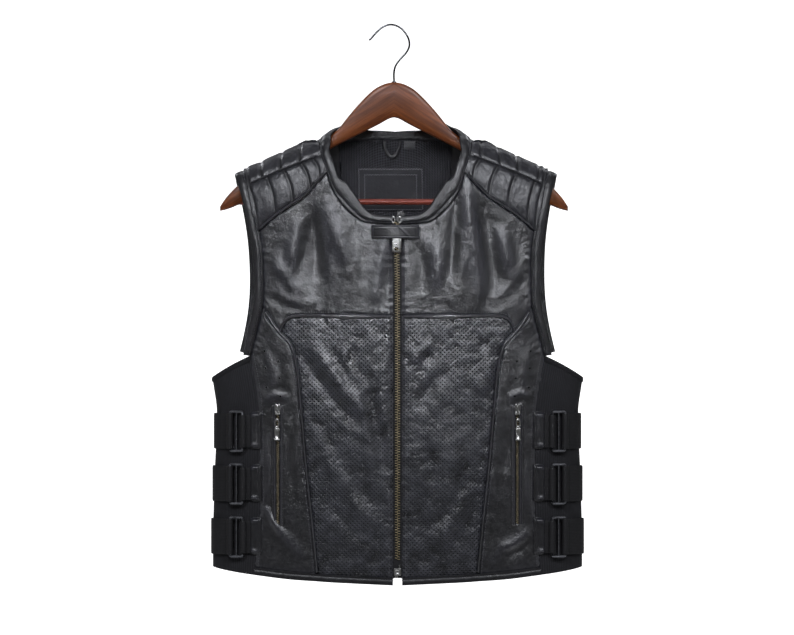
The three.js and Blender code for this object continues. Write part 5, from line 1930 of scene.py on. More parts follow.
def block(name: str, centre: Sequence[float], size: Sequence[float], bevel: float,
          segments: int = 3) -> Object:
    """Add a block with rounded edges.

    Args:
        name: The object's name.
        centre: Its middle in mm.
        size: Its sizes in mm.
        bevel: How far its edges are rounded, in mm.
        segments: How many faces round an edge.

    Returns:
        The block, in metres, with its place in its mesh.
    """
    bpy.ops.object.select_all(action="DESELECT")
    bpy.ops.mesh.primitive_cube_add(size=1.0, location=[c * MM for c in centre], scale=[s * MM for s in size])
    shape = named(name)
    round_edges(shape, bevel, segments)
    return shape


def rod(name: str, centre: Sequence[float], radius: float, length: float, axis: str = "Z",
        sides: int = 24) -> Object:
    """Add a round rod along an axis, in mm.

    Args:
        name: The object's name.
        centre: Its middle.
        radius: Its radius.
        length: Its length.
        axis: Its axis.
        sides: How many sides it has.

    Returns:
        The rod.
    """
    turns = {"X": (0.0, QUARTER_TURN, 0.0), "Y": (QUARTER_TURN, 0.0, 0.0), "Z": (0.0, 0.0, 0.0)}
    bpy.ops.object.select_all(action="DESELECT")
    bpy.ops.mesh.primitive_cylinder_add(
        vertices=sides, radius=radius * MM, depth=length * MM, location=[c * MM for c in centre],
        rotation=turns[axis],
    )
    return named(name)


def ring(name: str, centre: Sequence[float], radius: float, wire: float, stretch: float = 1.0,
         turn: tuple[float, float, float] = (QUARTER_TURN, 0.0, 0.0)) -> Object:
    """Add a wire ring in mm, facing the front, stretched along Z.

    Args:
        name: The object's name.
        centre: Its middle.
        radius: Its radius.
        wire: Its wire's radius.
        stretch: How far it is stretched.
        turn: Its turn about X, Y and Z.

    Returns:
        The ring.
    """
    bpy.ops.object.select_all(action="DESELECT")
    bpy.ops.mesh.primitive_torus_add(
        major_radius=radius * MM, minor_radius=wire * MM, major_segments=28, minor_segments=10,
        location=[c * MM for c in centre], rotation=turn,
    )
    bpy.context.object.scale[1] = stretch
    wire_ring = named(name)
    soften(wire_ring, 60.0)
    return wire_ring


def settle(obj: Object) -> None:
    """Put an object's place, turn and size into its mesh."""
    pick(obj)
    bpy.ops.object.transform_apply(location=True, rotation=True, scale=True)


def round_edges(obj: Object, bevel: float, segments: int = 3, limit: float = 35.0) -> None:
    """Round an object's sharp edges by a bevel in mm.

    Args:
        obj: The object.
        bevel: The bevel.
        segments: How many faces round an edge.
        limit: The angle in degrees past which an edge is sharp.
    """
    pick(obj)
    rounding = obj.modifiers.new("rounded", "BEVEL")
    rounding.width = bevel * MM
    rounding.segments = segments
    rounding.limit_method = "ANGLE"
    rounding.angle_limit = math.radians(limit)
    bpy.ops.object.modifier_apply(modifier=rounding.name)
    soften(obj, 40.0)


def sink_face(obj: Object, facing: Sequence[float], margin: float, depth: float) -> None:
    """Inset the largest face that looks one way, and sink it.

    Args:
        obj: The object.
        facing: The way that the face looks.
        margin: The width of the rim that is left, in mm.
        depth: How far the face sinks, in mm.
    """
    pick(obj)
    faces = obj.data.polygons
    best = max((f for f in faces if f.normal.dot(Vector(facing)) > 0.95), key=lambda f: f.area).index
    unselect_form(obj)
    faces[best].select = True
    bpy.ops.object.mode_set(mode="EDIT")
    bpy.ops.mesh.select_mode(type="FACE")
    bpy.ops.mesh.inset(thickness=margin * MM)
    bpy.ops.mesh.inset(thickness=0.15 * MM, depth=-depth * MM)
    bpy.ops.object.mode_set(mode="OBJECT")


def unselect_form(obj: Object) -> None:
    """Unselect every point, edge and face of an object."""
    for item in (*obj.data.vertices, *obj.data.edges, *obj.data.polygons):
        item.select = False


def cut_out(obj: Object, cutter: Object) -> None:
    """Cut one object out of another, and remove the cutter.

    Args:
        obj: The object.
        cutter: What is cut out.
    """
    pick(obj)
    cut = obj.modifiers.new("cut", "BOOLEAN")
    cut.object = cutter
    cut.solver = "EXACT"
    bpy.ops.object.modifier_apply(modifier=cut.name)
    bpy.data.objects.remove(cutter)


def join_pieces(name: str, parts: Sequence[Object]) -> Object:
    """Join objects into one.

    Args:
        name: The joined object's name.
        parts: The objects.

    Returns:
        The joined object.
    """
    bpy.ops.object.select_all(action="DESELECT")
    for part in parts:
        part.select_set(True)
    bpy.context.view_layer.objects.active = parts[0]
    bpy.ops.object.join()
    parts[0].name = name
    return parts[0]


def template_in_mm(obj: Object) -> Template:
    """Take a template from an object shaped in metres, back in mm.

    Args:
        obj: The object.

    Returns:
        The template.
    """
    for vertex in obj.data.vertices:
        vertex.co *= 1 / MM
    return Template.taken_from(obj)


def wall_on_body(name: str, u: Grid, w: Grid, lifts: tuple[Grid, Grid], uv: Grid,
                 rub: Optional[Grid] = None) -> Object:
    """Lay a closed wall on the body surface.

    Args:
        name: The object's name.
        u: Places across.
        w: Runs over the shoulder.
        lifts: The lifts of its outer and inner faces.
        uv: Each point's place on the flat cloth.
        rub: How much lighter each point is drawn: wear, and in places a painted highlight.

    Returns:
        The wall.
    """
    outer, inner = (BODY.point(u, w, lift) for lift in lifts)
    return shell(name, outer, inner, uv, rub)


def front_anchor(u: float, z: float, lift: float) -> Grid:
    """A place on the front in mm, lifted off the surface."""
    w = BODY.run(np.array(u), np.array(z), Sheet.FRONT)
    return BODY.point(np.array(u), w, lift)


def strip_on_front(name: str, centre: float, heights: Grid, section: Sequence[Edge]) -> Object:
    """Sweep a section down the front.

    Args:
        name: The object's name.
        centre: The strip's place across.
        heights: The heights of its rings.
        section: Its section as (across, lift) in mm.

    Returns:
        The strip.
    """
    shape = np.array(section)
    u = centre + np.broadcast_to(shape[None, :, 0], (len(heights), len(shape)))
    z = np.broadcast_to(heights[:, None], u.shape)
    w = BODY.run(u, z, Sheet.FRONT)
    rings = BODY.point(u, w, np.broadcast_to(shape[None, :, 1], u.shape))
    return tube(name, rings, np.stack([u, z], axis=-1))


# Zips


@dataclass
class ZipTeeth:
    """Two rows of zip teeth that mesh down a line on the front."""

    tooth_wide: float
    tooth_high: float
    pitch: float
    lift: float
    tooth_share: float = 0.34
    row_off: float = 0.34

    def template(self) -> Template:
        """One tooth: a small block with softened edges."""
        size = (self.tooth_wide, self.pitch * self.tooth_share, self.tooth_high)
        return template_in_mm(block("tooth", (0, 0, 0), size, 0.22, 1))

    def build(self, name: str, centre: float, top: float, bottom: float) -> Object:
        """Lay both rows.

        Args:
            name: The object's name.
            centre: The place across of their middle.
            top: The height of their top.
            bottom: The height of their end.

        Returns:
            The teeth.
        """
        count = int((top - bottom) / self.pitch)
        places = [
            (centre + way * self.tooth_wide * self.row_off, top - (k + 0.5 * row + 0.25) * self.pitch)
            for row, way in enumerate((-1, 1)) for k in range(count)
        ]
        return self.template().laid(name, *upright_frames(np.array(places), self.lift))


@dataclass
class CentreZip:
    """The front zip: tape, teeth, stops, slider, bottom box, neck tab and pull."""

    top: float = -262.5
    bottom: float = -716.0
    tape_half: float = 5.6
    teeth: ZipTeeth = field(default_factory=lambda: ZipTeeth(3.9, 1.8, 3.3, 0.6))
    teeth_end: float = -695.0
    slider_z: float = -270.0
    slider_lift: float = 1.9
    slider_size: tuple[float, float, float] = (9.4, 3.4, 13.5)
    stop_u: float = 4.2
    stop_lift: float = 0.4
    box_top: float = -700.0
    box_lift: float = 0.7
    box_size: tuple[float, float, float] = (9.6, 3.6, 15.0)
    tab_left: float = -32.5
    tab_right: float = 29.5
    tab_top: float = -260.2
    tab_bottom: float = -277.8
    tab_low: float = 7.2
    tab_thick: float = 2.2
    tab_seat: float = 0.4
    pull_z: float = -277.0
    pull_size: tuple[float, float, float] = (11.8, 1.7, 18.8)
    pull_lift: float = 4.6

    def build(self, finishes: Finishes) -> None:
        """Build and dress the zip.

        Args:
            finishes: The finishes to dress with.
        """
        heights = np.linspace(self.top + 6.5, self.bottom + 0.5, 120)
        half = self.tape_half
        rim = ((-half, -1.4), (-half, -0.8), (-3.2, -0.6), (-2.2, 0.0))
        section = (*rim, *((-across, lift) for across, lift in reversed(rim)))
        tape = strip_on_front("centre_zip_tape", 0.0, heights, section)
        place_piece(tape, finishes.elastic, ["centre_zip"])
        teeth = self.teeth.build("centre_zip_teeth", 0.0, self.top + 6.0, self.teeth_end)
        place_piece(teeth, finishes.brass)
        self.metal(finishes)
        self.neck_tab(finishes)
        self.pull(finishes)

    def metal(self, finishes: Finishes) -> None:
        """Build the slider, the bottom box with its pin and the top stops.

        Args:
            finishes: The finishes to dress with.
        """
        spot = front_anchor(0.0, self.slider_z, self.slider_lift)
        slider = block("centre_zip_slider", spot, self.slider_size, 1.2)
        sink_face(slider, (0, -1, 0), 1.6, 0.8)
        place_piece(slider, finishes.nickel)
        wide, deep, high = self.box_size
        spot = front_anchor(0.0, self.box_top - high / 2, self.box_lift)
        box = block("zip_bottom_box", spot, (wide, deep, high * 0.62), 0.8)
        sink_face(box, (0, -1, 0), 1.2, 0.5)
        pin = rod("zip_pin", spot + np.array([2.4, -0.6, high * 0.36]), 0.9, high * 0.5)
        foot = block("zip_foot", spot + np.array([-1.6, -0.4, -high * 0.36]), (4.4, deep * 0.8, 4.6), 0.7)
        place_piece(join_pieces("zip_bottom_box", [box, pin, foot]), finishes.nickel)
        stops = []
        for way in (-1, 1):
            spot = front_anchor(way * self.stop_u, self.top + 9.0, self.stop_lift)
            stops.append(ring(f"zip_stop_{way}", spot, 2.0, 0.7, 1.9))
        place_piece(join_pieces("zip_top_stops", stops), finishes.nickel)

    def neck_tab(self, finishes: Finishes) -> None:
        """Build the stitched leather tab that closes the neck over the zip.

        Args:
            finishes: The finishes to dress with.
        """
        middle, half = (self.tab_left + self.tab_right) / 2, (self.tab_right - self.tab_left) / 2
        u, z = np.meshgrid(
            np.linspace(self.tab_left, self.tab_right, 90), np.linspace(self.tab_bottom, self.tab_top, 30)
        )
        share = (u - middle) / half
        arch = np.clip(np.cos(np.clip(share, -0.999, 0.999) * QUARTER_TURN), 0, 1) ** 0.7
        low = self.tab_seat + (self.tab_low - self.tab_seat) * arch
        edge = np.minimum(half - np.abs(u - middle), np.minimum(z - self.tab_bottom, self.tab_top - z))
        rim = 1.0 - np.exp(-((edge / 0.9) ** 2))
        seam = np.exp(-(((edge - 2.8) / 0.6) ** 2))
        fold = 0.5 * np.exp(-(((u - middle - 20 + (z - self.tab_bottom)) / 2.0) ** 2))
        thick = self.tab_thick * (0.45 + 0.55 * rim) - 0.5 * seam + fold
        w = BODY.run(u, z, Sheet.FRONT)
        # The diagonal fold is drawn lighter as well as raised: a painted highlight. The rim is drawn lighter
        # too.
        rub = np.clip(0.9 * np.exp(-(((edge - 1.0) / 1.2) ** 2)) + fold, 0, 1)
        tab = wall_on_body("neck_tab_leather", u, w, (low + thick, low), np.stack([u, z], axis=-1), rub)
        place_piece(tab, finishes.trim, ["neck_tab"])

    def pull(self, finishes: Finishes) -> None:
        """Build the main pull: a raised rim round a sunk plate, with a window at its foot.

        Args:
            finishes: The finishes to dress with.
        """
        wide, thick, long = self.pull_size
        spot = front_anchor(0.0, self.pull_z, self.pull_lift + thick / 2)
        centre = spot + np.array([0.0, 0.0, -long / 2])
        body = block("centre_pull_plate", centre, (wide, thick, long), 0.9, 2)
        sink_face(body, (0, -1, 0), 1.7, 0.5)
        window = block("window", centre + np.array([0, 0, -long / 2 + 4.6]), (5.6, 6.0, 4.4), 1.2, 2)
        cut_out(body, window)
        soften(body, 40.0)
        place_piece(body, finishes.nickel, ["centre_pull"], "centre_pull")


@dataclass
class PocketZips:
    """The upright pocket zips with their welts, sliders and pulls."""

    u: float = 154.5
    top: float = -492.0
    bottom: float = -649.0
    welt_half: float = 8.0
    welt_foot: float = -0.6
    teeth: ZipTeeth = field(default_factory=lambda: ZipTeeth(2.1, 1.3, 2.6, 0.8))
    slider_size: tuple[float, float, float] = (6.4, 4.2, 13.0)
    pull_z: float = -510.0
    pull_lift: float = 6.2
    plate_size: tuple[float, float, float] = (6.2, 1.5, 16.5)

    def build(self, finishes: Finishes) -> None:
        """Build and dress both pocket zips.

        Args:
            finishes: The finishes to dress with.
        """
        for side in Side:
            centre = side.value * self.u
            self.welt(side, centre, finishes)
            teeth = self.teeth.build(f"pocket_teeth_{side.tag}", centre, self.top - 3.0, self.bottom + 3.0)
            place_piece(teeth, finishes.brass)
            self.slider(side, centre, finishes)
            self.pull(side, centre, finishes)

    def welt(self, side: Side, centre: float, finishes: Finishes) -> None:
        """Build the leather welt and the tape behind the teeth.

        Args:
            side: The side of the vest.
            centre: The zip's place across.
            finishes: The finishes to dress with.
        """
        u, z = np.meshgrid(
            centre + np.linspace(-self.welt_half, self.welt_half, 61), np.linspace(self.bottom, self.top, 150)
        )
        off = np.abs(u - centre)
        end = np.minimum(z - self.bottom, self.top - z)
        mouth = np.minimum(off, 20.0)
        open_there = np.clip((end - 1.6) / 1.2, 0, 1)
        lip = 1.5 * np.exp(-(((mouth - 4.2) / 1.2) ** 2))
        hollow = -1.0 * np.exp(-((mouth / 2.7) ** 4)) * open_there
        seam = -0.35 * np.exp(-(((mouth - 6.3) / 0.5) ** 2)) - 0.35 * np.exp(-(((end - 1.4) / 0.5) ** 2))
        rim = np.clip(np.minimum(self.welt_half - off, end) / 0.9, 0, 1)
        lift = 0.05 + 1.0 * rim + lip * open_there * rim + hollow + seam
        w = BODY.run(u, z, Sheet.FRONT)
        # The welt's open lips are drawn lighter.
        rub = np.clip(lip * open_there, 0, 1)
        lifts = (lift, self.welt_foot)
        welt = wall_on_body(f"pocket_welt_{side.tag}", u, w, lifts, np.stack([u, z], axis=-1), rub)
        place_piece(welt, finishes.grain, [f"pocket_zip_{side.tag}"])

    def slider(self, side: Side, centre: float, finishes: Finishes) -> None:
        """Build the slider: two rails, a middle block set behind them and a bridge.

        Args:
            side: The side of the vest.
            centre: The zip's place across.
            finishes: The finishes to dress with.
        """
        wide, deep, high = self.slider_size
        spot = front_anchor(centre, self.top - high / 2, 2.4)
        body = block(f"pocket_slider_{side.tag}", spot, (wide * 0.8, deep * 0.7, high * 0.9), 1.0, 2)
        parts = [body]
        for way in (-1, 1):
            rail = spot + np.array([way * wide * 0.3, -deep * 0.4, 0.6])
            parts.append(ring("rail", rail, 1.3, 0.6, high / 3.4))
        parts.append(rod("bridge", spot + np.array([0, -deep * 0.55, -high * 0.42]), 0.9, wide, "X", 14))
        place_piece(join_pieces(f"pocket_slider_{side.tag}", parts), finishes.nickel)

    def pull(self, side: Side, centre: float, finishes: Finishes) -> None:
        """Build the pull: a wire eye and a flat plate hung from it.

        Args:
            side: The side of the vest.
            centre: The zip's place across.
            finishes: The finishes to dress with.
        """
        wide, thick, long = self.plate_size
        spot = front_anchor(centre, self.pull_z, self.pull_lift + thick / 2)
        eye = ring("eye", spot + np.array([0, 0, -6.0]), 2.5, 0.75, 2.0)
        plate = block("plate", spot + np.array([0, 0, -12.0 - long / 2]), (wide, thick, long), 0.5, 2)
        sink_face(plate, (0, -1, 0), 0.9, 0.3)
        end = spot + np.array([0, 0, -12.0 - long + 1.0])
        foot = block("foot", end, (wide + 0.3, thick + 0.5, 2.4), 0.4, 2)
        whole = join_pieces(f"pocket_pull_plate_{side.tag}", [plate, eye, foot])
        name = f"pocket_pull_{side.tag}"
        place_piece(whole, finishes.nickel, [name], name)


# Side straps


@dataclass
class SideStraps:
    """Three elastic straps a side, each on a buckle that a leather tab holds."""

    heights: tuple[float, ...] = (-526.5, -594.5, -663.0)
    height: float = 46.0
    thick: float = 1.7
    front_u: float = 213.5
    back_u: float = 168.0
    buckle_u: float = 206.5
    buckle_lift: float = 5.4
    buckle_size: Edge = (21.0, 54.0)
    bar: float = 2.8
    roll: float = 3.2
    lift_ahead: float = 2.3
    lift_behind: float = 0.7
    wrap_past: float = 3.5
    frame_corner: float = 4.2
    window_corner: float = 1.6
    keeper_less: float = 4.0
    keeper_lift: float = 2.0
    keeper_under: float = 6.0
    tab_outer_u: float = 191.0
    tab_inner_u: float = 175.5
    tab_height: float = 48.0
    tab_corner: float = 6.0

    def frame_at(self, side: Side, z: float) -> tuple[Grid, Grid, Grid]:
        """A buckle's middle, its way towards the side and its way out.

        Args:
            side: The side of the vest.
            z: The strap's height.

        Returns:
            The middle and the two ways.
        """
        angle = float(BODY.side_angle(np.array(self.buckle_u), np.array(z), Sheet.FRONT))
        origin = BODY.on_side(side, np.array(angle), np.array(z), self.buckle_lift)
        ahead = BODY.on_side(side, np.array(angle - 0.02), np.array(z), self.buckle_lift)
        across = ahead - origin
        across[2] = 0.0
        across /= np.linalg.norm(across)
        out = np.array([0.0, -1.0, 0.0])
        out -= across * float(out @ across)
        return origin, across, out / np.linalg.norm(out)

    def ribbon(self, name: str, path: Grid, z: float, height: float, thick: float,
               smooth_angle: float = 60.0) -> Object:
        """Stand a ribbon up along a level path.

        Args:
            name: The object's name.
            path: The path of its middle, as x and y in mm.
            z: The height of its middle.
            height: Its own height.
            thick: Its thickness.
            smooth_angle: The angle in degrees past which an edge stays sharp.

        Returns:
            The ribbon.
        """
        off = -leftward(ways(path)) * thick / 2
        levels = np.linspace(-0.5, 0.5, 17)
        rim = 1 - 0.35 * np.clip((np.abs(levels) - 0.46) / 0.04, 0, 1)
        faces = []
        for sign in (1, -1):
            flat = path[:, None, :] + sign * off[:, None, :] * rim[None, :, None]
            tall = np.broadcast_to((z + levels * height)[None, :, None], (*flat.shape[:2], 1))
            faces.append(np.concatenate([flat, tall], axis=2))
        run = along(path)
        uv = np.stack(np.meshgrid(run, levels * height, indexing="ij"), axis=-1)
        return shell(name, faces[0], faces[1], uv, None, smooth_angle)

    def loop(self, centre: Grid, across: Grid, out: Grid, towards_side: bool, radius: float,
             turn: float = 1.72) -> Grid:
        """A path round a buckle's bar, from under it to its top and down again.

        Args:
            centre: The bar's middle.
            across: The way towards the side.
            out: The way out.
            towards_side: Whether it passes the bar on the side's side.
            radius: The path's radius.
            turn: How far it goes round, in half turns.

        Returns:
            The path as x and y in mm.
        """
        way = -1.0 if towards_side else 1.0
        angles = np.linspace(0, turn * math.pi, 30)
        return np.array([
            (centre + radius * (-out * math.cos(a) + across * way * math.sin(a)))[:2] for a in angles
        ])

    def build(self, finishes: Finishes) -> None:
        """Build and dress all the straps.

        Args:
            finishes: The finishes to dress with.
        """
        for side in Side:
            for number, z in enumerate(self.heights, 1):
                self.strap(side, number, z, finishes)

    def strap(self, side: Side, number: int, z: float, finishes: Finishes) -> None:
        """Build one strap with its buckle and tab.

        Args:
            side: The side of the vest.
            number: Its number from the top.
            z: Its height.
            finishes: The finishes to dress with.
        """
        tag = f"{side.tag}_{number}"
        origin, across, out = self.frame_at(side, z)
        bar_off = self.buckle_size[0] / 2 - self.bar / 2
        outer_bar, inner_bar = origin + across * bar_off, origin - across * bar_off

        start = float(BODY.side_angle(np.array(self.front_u + self.wrap_past), np.array(z), Sheet.FRONT))
        end = float(BODY.side_angle(np.array(self.back_u), np.array(z), Sheet.BACK))
        angles = np.linspace(end, start, 60)
        share = np.linspace(1, 0, 60)
        sink = (self.lift_behind - self.lift_ahead) * np.minimum(share * 2, 1)
        lift = self.lift_ahead + sink + self.thick / 2
        band = BODY.on_side(side, angles, np.full(60, z), lift)[:, :2]
        wrap = self.loop(outer_bar, across, out, True, self.roll)
        path = resample(np.vstack([band, wrap]), 110)
        elastic = self.ribbon(f"elastic_strap_{tag}", path, z, self.height, self.thick)
        place_piece(elastic, finishes.elastic, [f"strap_{tag}"])

        inner_wrap = self.loop(inner_bar, across, out, False, self.roll)
        under_tab = BODY.side_angle(np.array(self.tab_outer_u - self.keeper_under), np.array(z), Sheet.FRONT)
        tail_end = BODY.on_side(side, under_tab, np.array(z), self.keeper_lift)[:2]
        tail = straight(tail_end, inner_wrap[0], 8)
        tail_path = resample(np.vstack([tail, inner_wrap[1:]]), 50)
        keeper_height = self.height - self.keeper_less
        keeper = self.ribbon(f"buckle_keeper_{tag}", tail_path, z, keeper_height, self.thick)
        place_piece(keeper, finishes.elastic, [f"buckle_tab_{tag}"])
        self.buckle(tag, origin, across, out, finishes)
        self.tab(side, tag, z, finishes)

    def buckle(self, tag: str, origin: Grid, across: Grid, out: Grid, finishes: Finishes) -> None:
        """Build the buckle's frame: a plated ring with rounded corners.

        Args:
            tag: The words in its pieces' names.
            origin: Its middle.
            across: The way towards the side.
            out: The way out.
            finishes: The finishes to dress with.
        """
        wide, high = self.buckle_size
        frame_body = block(f"buckle_frame_{tag}", (0, 0, 0), (wide, self.bar * 3, high), self.frame_corner, 4)
        trim_away = (wide + 4, self.bar * 3, high + 4)
        for way in (-1, 1):
            cut_out(frame_body, block("trim", (0, way * self.bar * 2, 0), trim_away, 0.01, 1))
        window = (wide - 2 * self.bar, self.bar * 6, high - 2 * self.bar)
        cut_out(frame_body, block("hole", (0, 0, 0), window, self.window_corner, 3))
        round_edges(frame_body, 0.8, 3)
        middle_bar = rod("middle_bar", (0, 0.6, 0), 1.0, high - 2 * self.bar + 0.6, "Z", 16)
        frame_body = join_pieces(f"buckle_frame_{tag}", [frame_body, middle_bar])
        first = across if np.cross(across, -out) @ UP >= 0 else -across
        axes = np.stack([first, -out, UP])
        placed = np.array([v.co[:] for v in frame_body.data.vertices]) @ axes + origin * MM
        frame_body.data.vertices.foreach_set("co", placed.ravel())
        frame_body.data.update()
        place_piece(frame_body, finishes.gunmetal, [f"buckle_{tag}"])

    def tab(self, side: Side, tag: str, z: float, finishes: Finishes) -> None:
        """Build the puffed leather tab that holds the buckle.

        Args:
            side: The side of the vest.
            tag: The words in its pieces' names.
            z: Its height.
            finishes: The finishes to dress with.
        """
        u, level = np.meshgrid(
            np.linspace(self.tab_inner_u, self.tab_outer_u, 40), np.linspace(-0.5, 0.5, 70)
        )
        turned = np.clip(1 - (self.tab_outer_u - u) / self.tab_corner, 0, 1)
        shrink = 2 * self.tab_corner * (1 - np.sqrt(1 - turned**2))
        heights = z + 1.5 + level * (self.tab_height - shrink)
        angle = BODY.side_angle(u, heights, Sheet.FRONT)
        in_edge = u - self.tab_inner_u
        out_edge = self.tab_outer_u - u
        end = (0.5 - np.abs(level)) * self.tab_height
        puff = (1 - np.exp(-((out_edge / 2.2) ** 2))) * (1 - np.exp(-((end / 2.6) ** 2)))
        puff = puff * (1 - np.exp(-((in_edge / 1.6) ** 2)))
        seam = np.exp(-(((in_edge - 2.6) / 0.7) ** 2))
        lobe = 1.3 * np.exp(-(((end - 4) / 3.0) ** 2)) * np.exp(-(((out_edge - 6) / 6.0) ** 2))
        lift = 0.8 + 4.0 * puff * (0.55 + 0.45 * np.clip(in_edge / 6.5, 0, 1)) - 0.9 * seam + lobe
        # The lobes are drawn lighter as well as raised: a painted highlight. The outer edge is drawn lighter
        # too.
        rub = np.clip(lobe + 0.5 * np.exp(-(((out_edge - 1.5) / 1.5) ** 2)), 0, 1)
        outer = BODY.on_side(side, angle, heights, lift)
        inner = BODY.on_side(side, angle, heights, 0.25)
        tab = shell(f"strap_tab_{tag}", outer, inner, np.stack([u, heights], axis=-1), rub)
        place_piece(tab, finishes.trim, [f"buckle_tab_{tag}"])


# Inside the neck


@dataclass
class InsideNeck:
    """The bare label patch, the size tab and the hang loop, sewn to the lining."""

    face: float = -3.7
    # How much lighter the label patch and the size tab are drawn, evenly all over.
    rub: float = 0.35
    label: tuple[float, float, float, float] = (-50, 36, -240, -184)
    label_border: float = 9.0
    label_thick: float = 0.8
    label_bulge: float = 0.5
    sewing_lift: float = 1.5
    stitch_pitch: float = 1.7
    size_tab: tuple[float, float, float, float] = (11, 26, -160, -149)
    loop: tuple[Edge, ...] = ((-15, -149), (-13, -160), (-7.5, -169), (-1.5, -169), (4, -160), (6, -149))
    loop_half: float = 2.4
    loop_lift: float = 1.0
    loop_deep: float = 0.9

    def sheet_on_lining(self, name: str, box: tuple[float, float, float, float], thick: float,
                        bulge: float) -> Object:
        """Lay a thin patch on the lining inside the back.

        Args:
            name: The object's name.
            box: Its left, right, low and high edges.
            thick: Its thickness.
            bulge: How far its middle swells.

        Returns:
            The patch.
        """
        left, right, low, high = box
        u, z = np.meshgrid(np.linspace(left, right, 60), np.linspace(low, high, 40))
        edge = np.minimum(np.minimum(u - left, right - u), np.minimum(z - low, high - z))
        swell = bulge * (1 - np.exp(-((edge / 2.0) ** 2)))
        w = BODY.run(u, z, Sheet.BACK)
        lifts = (self.face - thick - swell, self.face)
        return wall_on_body(name, u, w, lifts, np.stack([u, z], axis=-1), self.rub * np.ones_like(u))

    def build(self, finishes: Finishes) -> None:
        """Build and dress the pieces.

        Args:
            finishes: The finishes to dress with.
        """
        patch_piece = self.sheet_on_lining("label_patch_bare", self.label, self.label_thick, self.label_bulge)
        place_piece(patch_piece, finishes.dull, ["label_patch"])
        tab = self.sheet_on_lining("size_tab_bare", self.size_tab, 0.5, 0.2)
        place_piece(tab, finishes.trim, ["size_tab"])
        self.border(finishes)
        self.hang_loop(finishes)

    def border(self, finishes: Finishes) -> None:
        """Build the two rows of zigzag sewing round the label patch.

        Args:
            finishes: The finishes to dress with.
        """
        left, right, low, high = self.label
        stitch = stitch_template(2.6, 0.55)
        origins, slants = [], []
        for inside in (1.6, self.label_border):
            box = (left + inside, right - inside, low + inside, high - inside)
            corners = np.array([(box[i], box[j]) for i, j in ((0, 2), (1, 2), (1, 3), (0, 3), (0, 2))])
            line = resample(corners, int(along(corners)[-1] / self.stitch_pitch))
            flick = np.where(np.arange(len(line)) % 2 == 0, 1.0, -1.0)
            way = ways(line)
            origins.append(line)
            slants.append(way + leftward(way) * flick[:, None])
        line, way = np.vstack(origins), np.vstack(slants)
        w = BODY.run(line[:, 0], line[:, 1], Sheet.BACK)
        spots = BODY.point(line[:, 0], w, self.face - self.sewing_lift)
        out = -BODY.normal(line[:, 0], w)
        x_axes = np.stack([way[:, 0], np.zeros(len(way)), way[:, 1]], axis=1)
        x_axes = unit(x_axes - out * np.sum(x_axes * out, axis=1, keepdims=True))
        sewing = stitch.laid("label_border_sewing", spots, x_axes, np.cross(out, x_axes), out)
        place_piece(sewing, finishes.pale_thread)

    def hang_loop(self, finishes: Finishes) -> None:
        """Build the hang loop: a flat folded strip in a U.

        Args:
            finishes: The finishes to dress with.
        """
        line = resample(spline(np.array(self.loop, dtype=float)), 60)
        across = leftward(ways(line))
        turn = np.linspace(0, math.tau, 12, endpoint=False)
        rings = []
        for angle in turn:
            spot = line + across * self.loop_half * math.cos(angle)
            w = BODY.run(spot[:, 0], spot[:, 1], Sheet.BACK)
            lift = self.face - self.loop_lift - self.loop_deep * math.sin(angle)
            rings.append(BODY.point(spot[:, 0], w, lift))
        loop_piece = tube("hang_loop_strip", np.stack(rings, axis=1))
        place_piece(loop_piece, finishes.trim, ["hang_loop"])


def stitch_template(length: float, thick: float) -> Template:
    """One stitch: a short soft oval along X, in mm.

    Args:
        length: Its length.
        thick: Its thickness.

    Returns:
        The template.
    """
    bpy.ops.object.select_all(action="DESELECT")
    level = (0.0, QUARTER_TURN, 0.0)
    bpy.ops.mesh.primitive_uv_sphere_add(segments=6, ring_count=4, radius=MM, rotation=level)
    oval = named("stitch")
    oval.scale = (length / 2, thick / 2, thick / 2)
    settle(oval)
    return template_in_mm(oval)


# Hanger


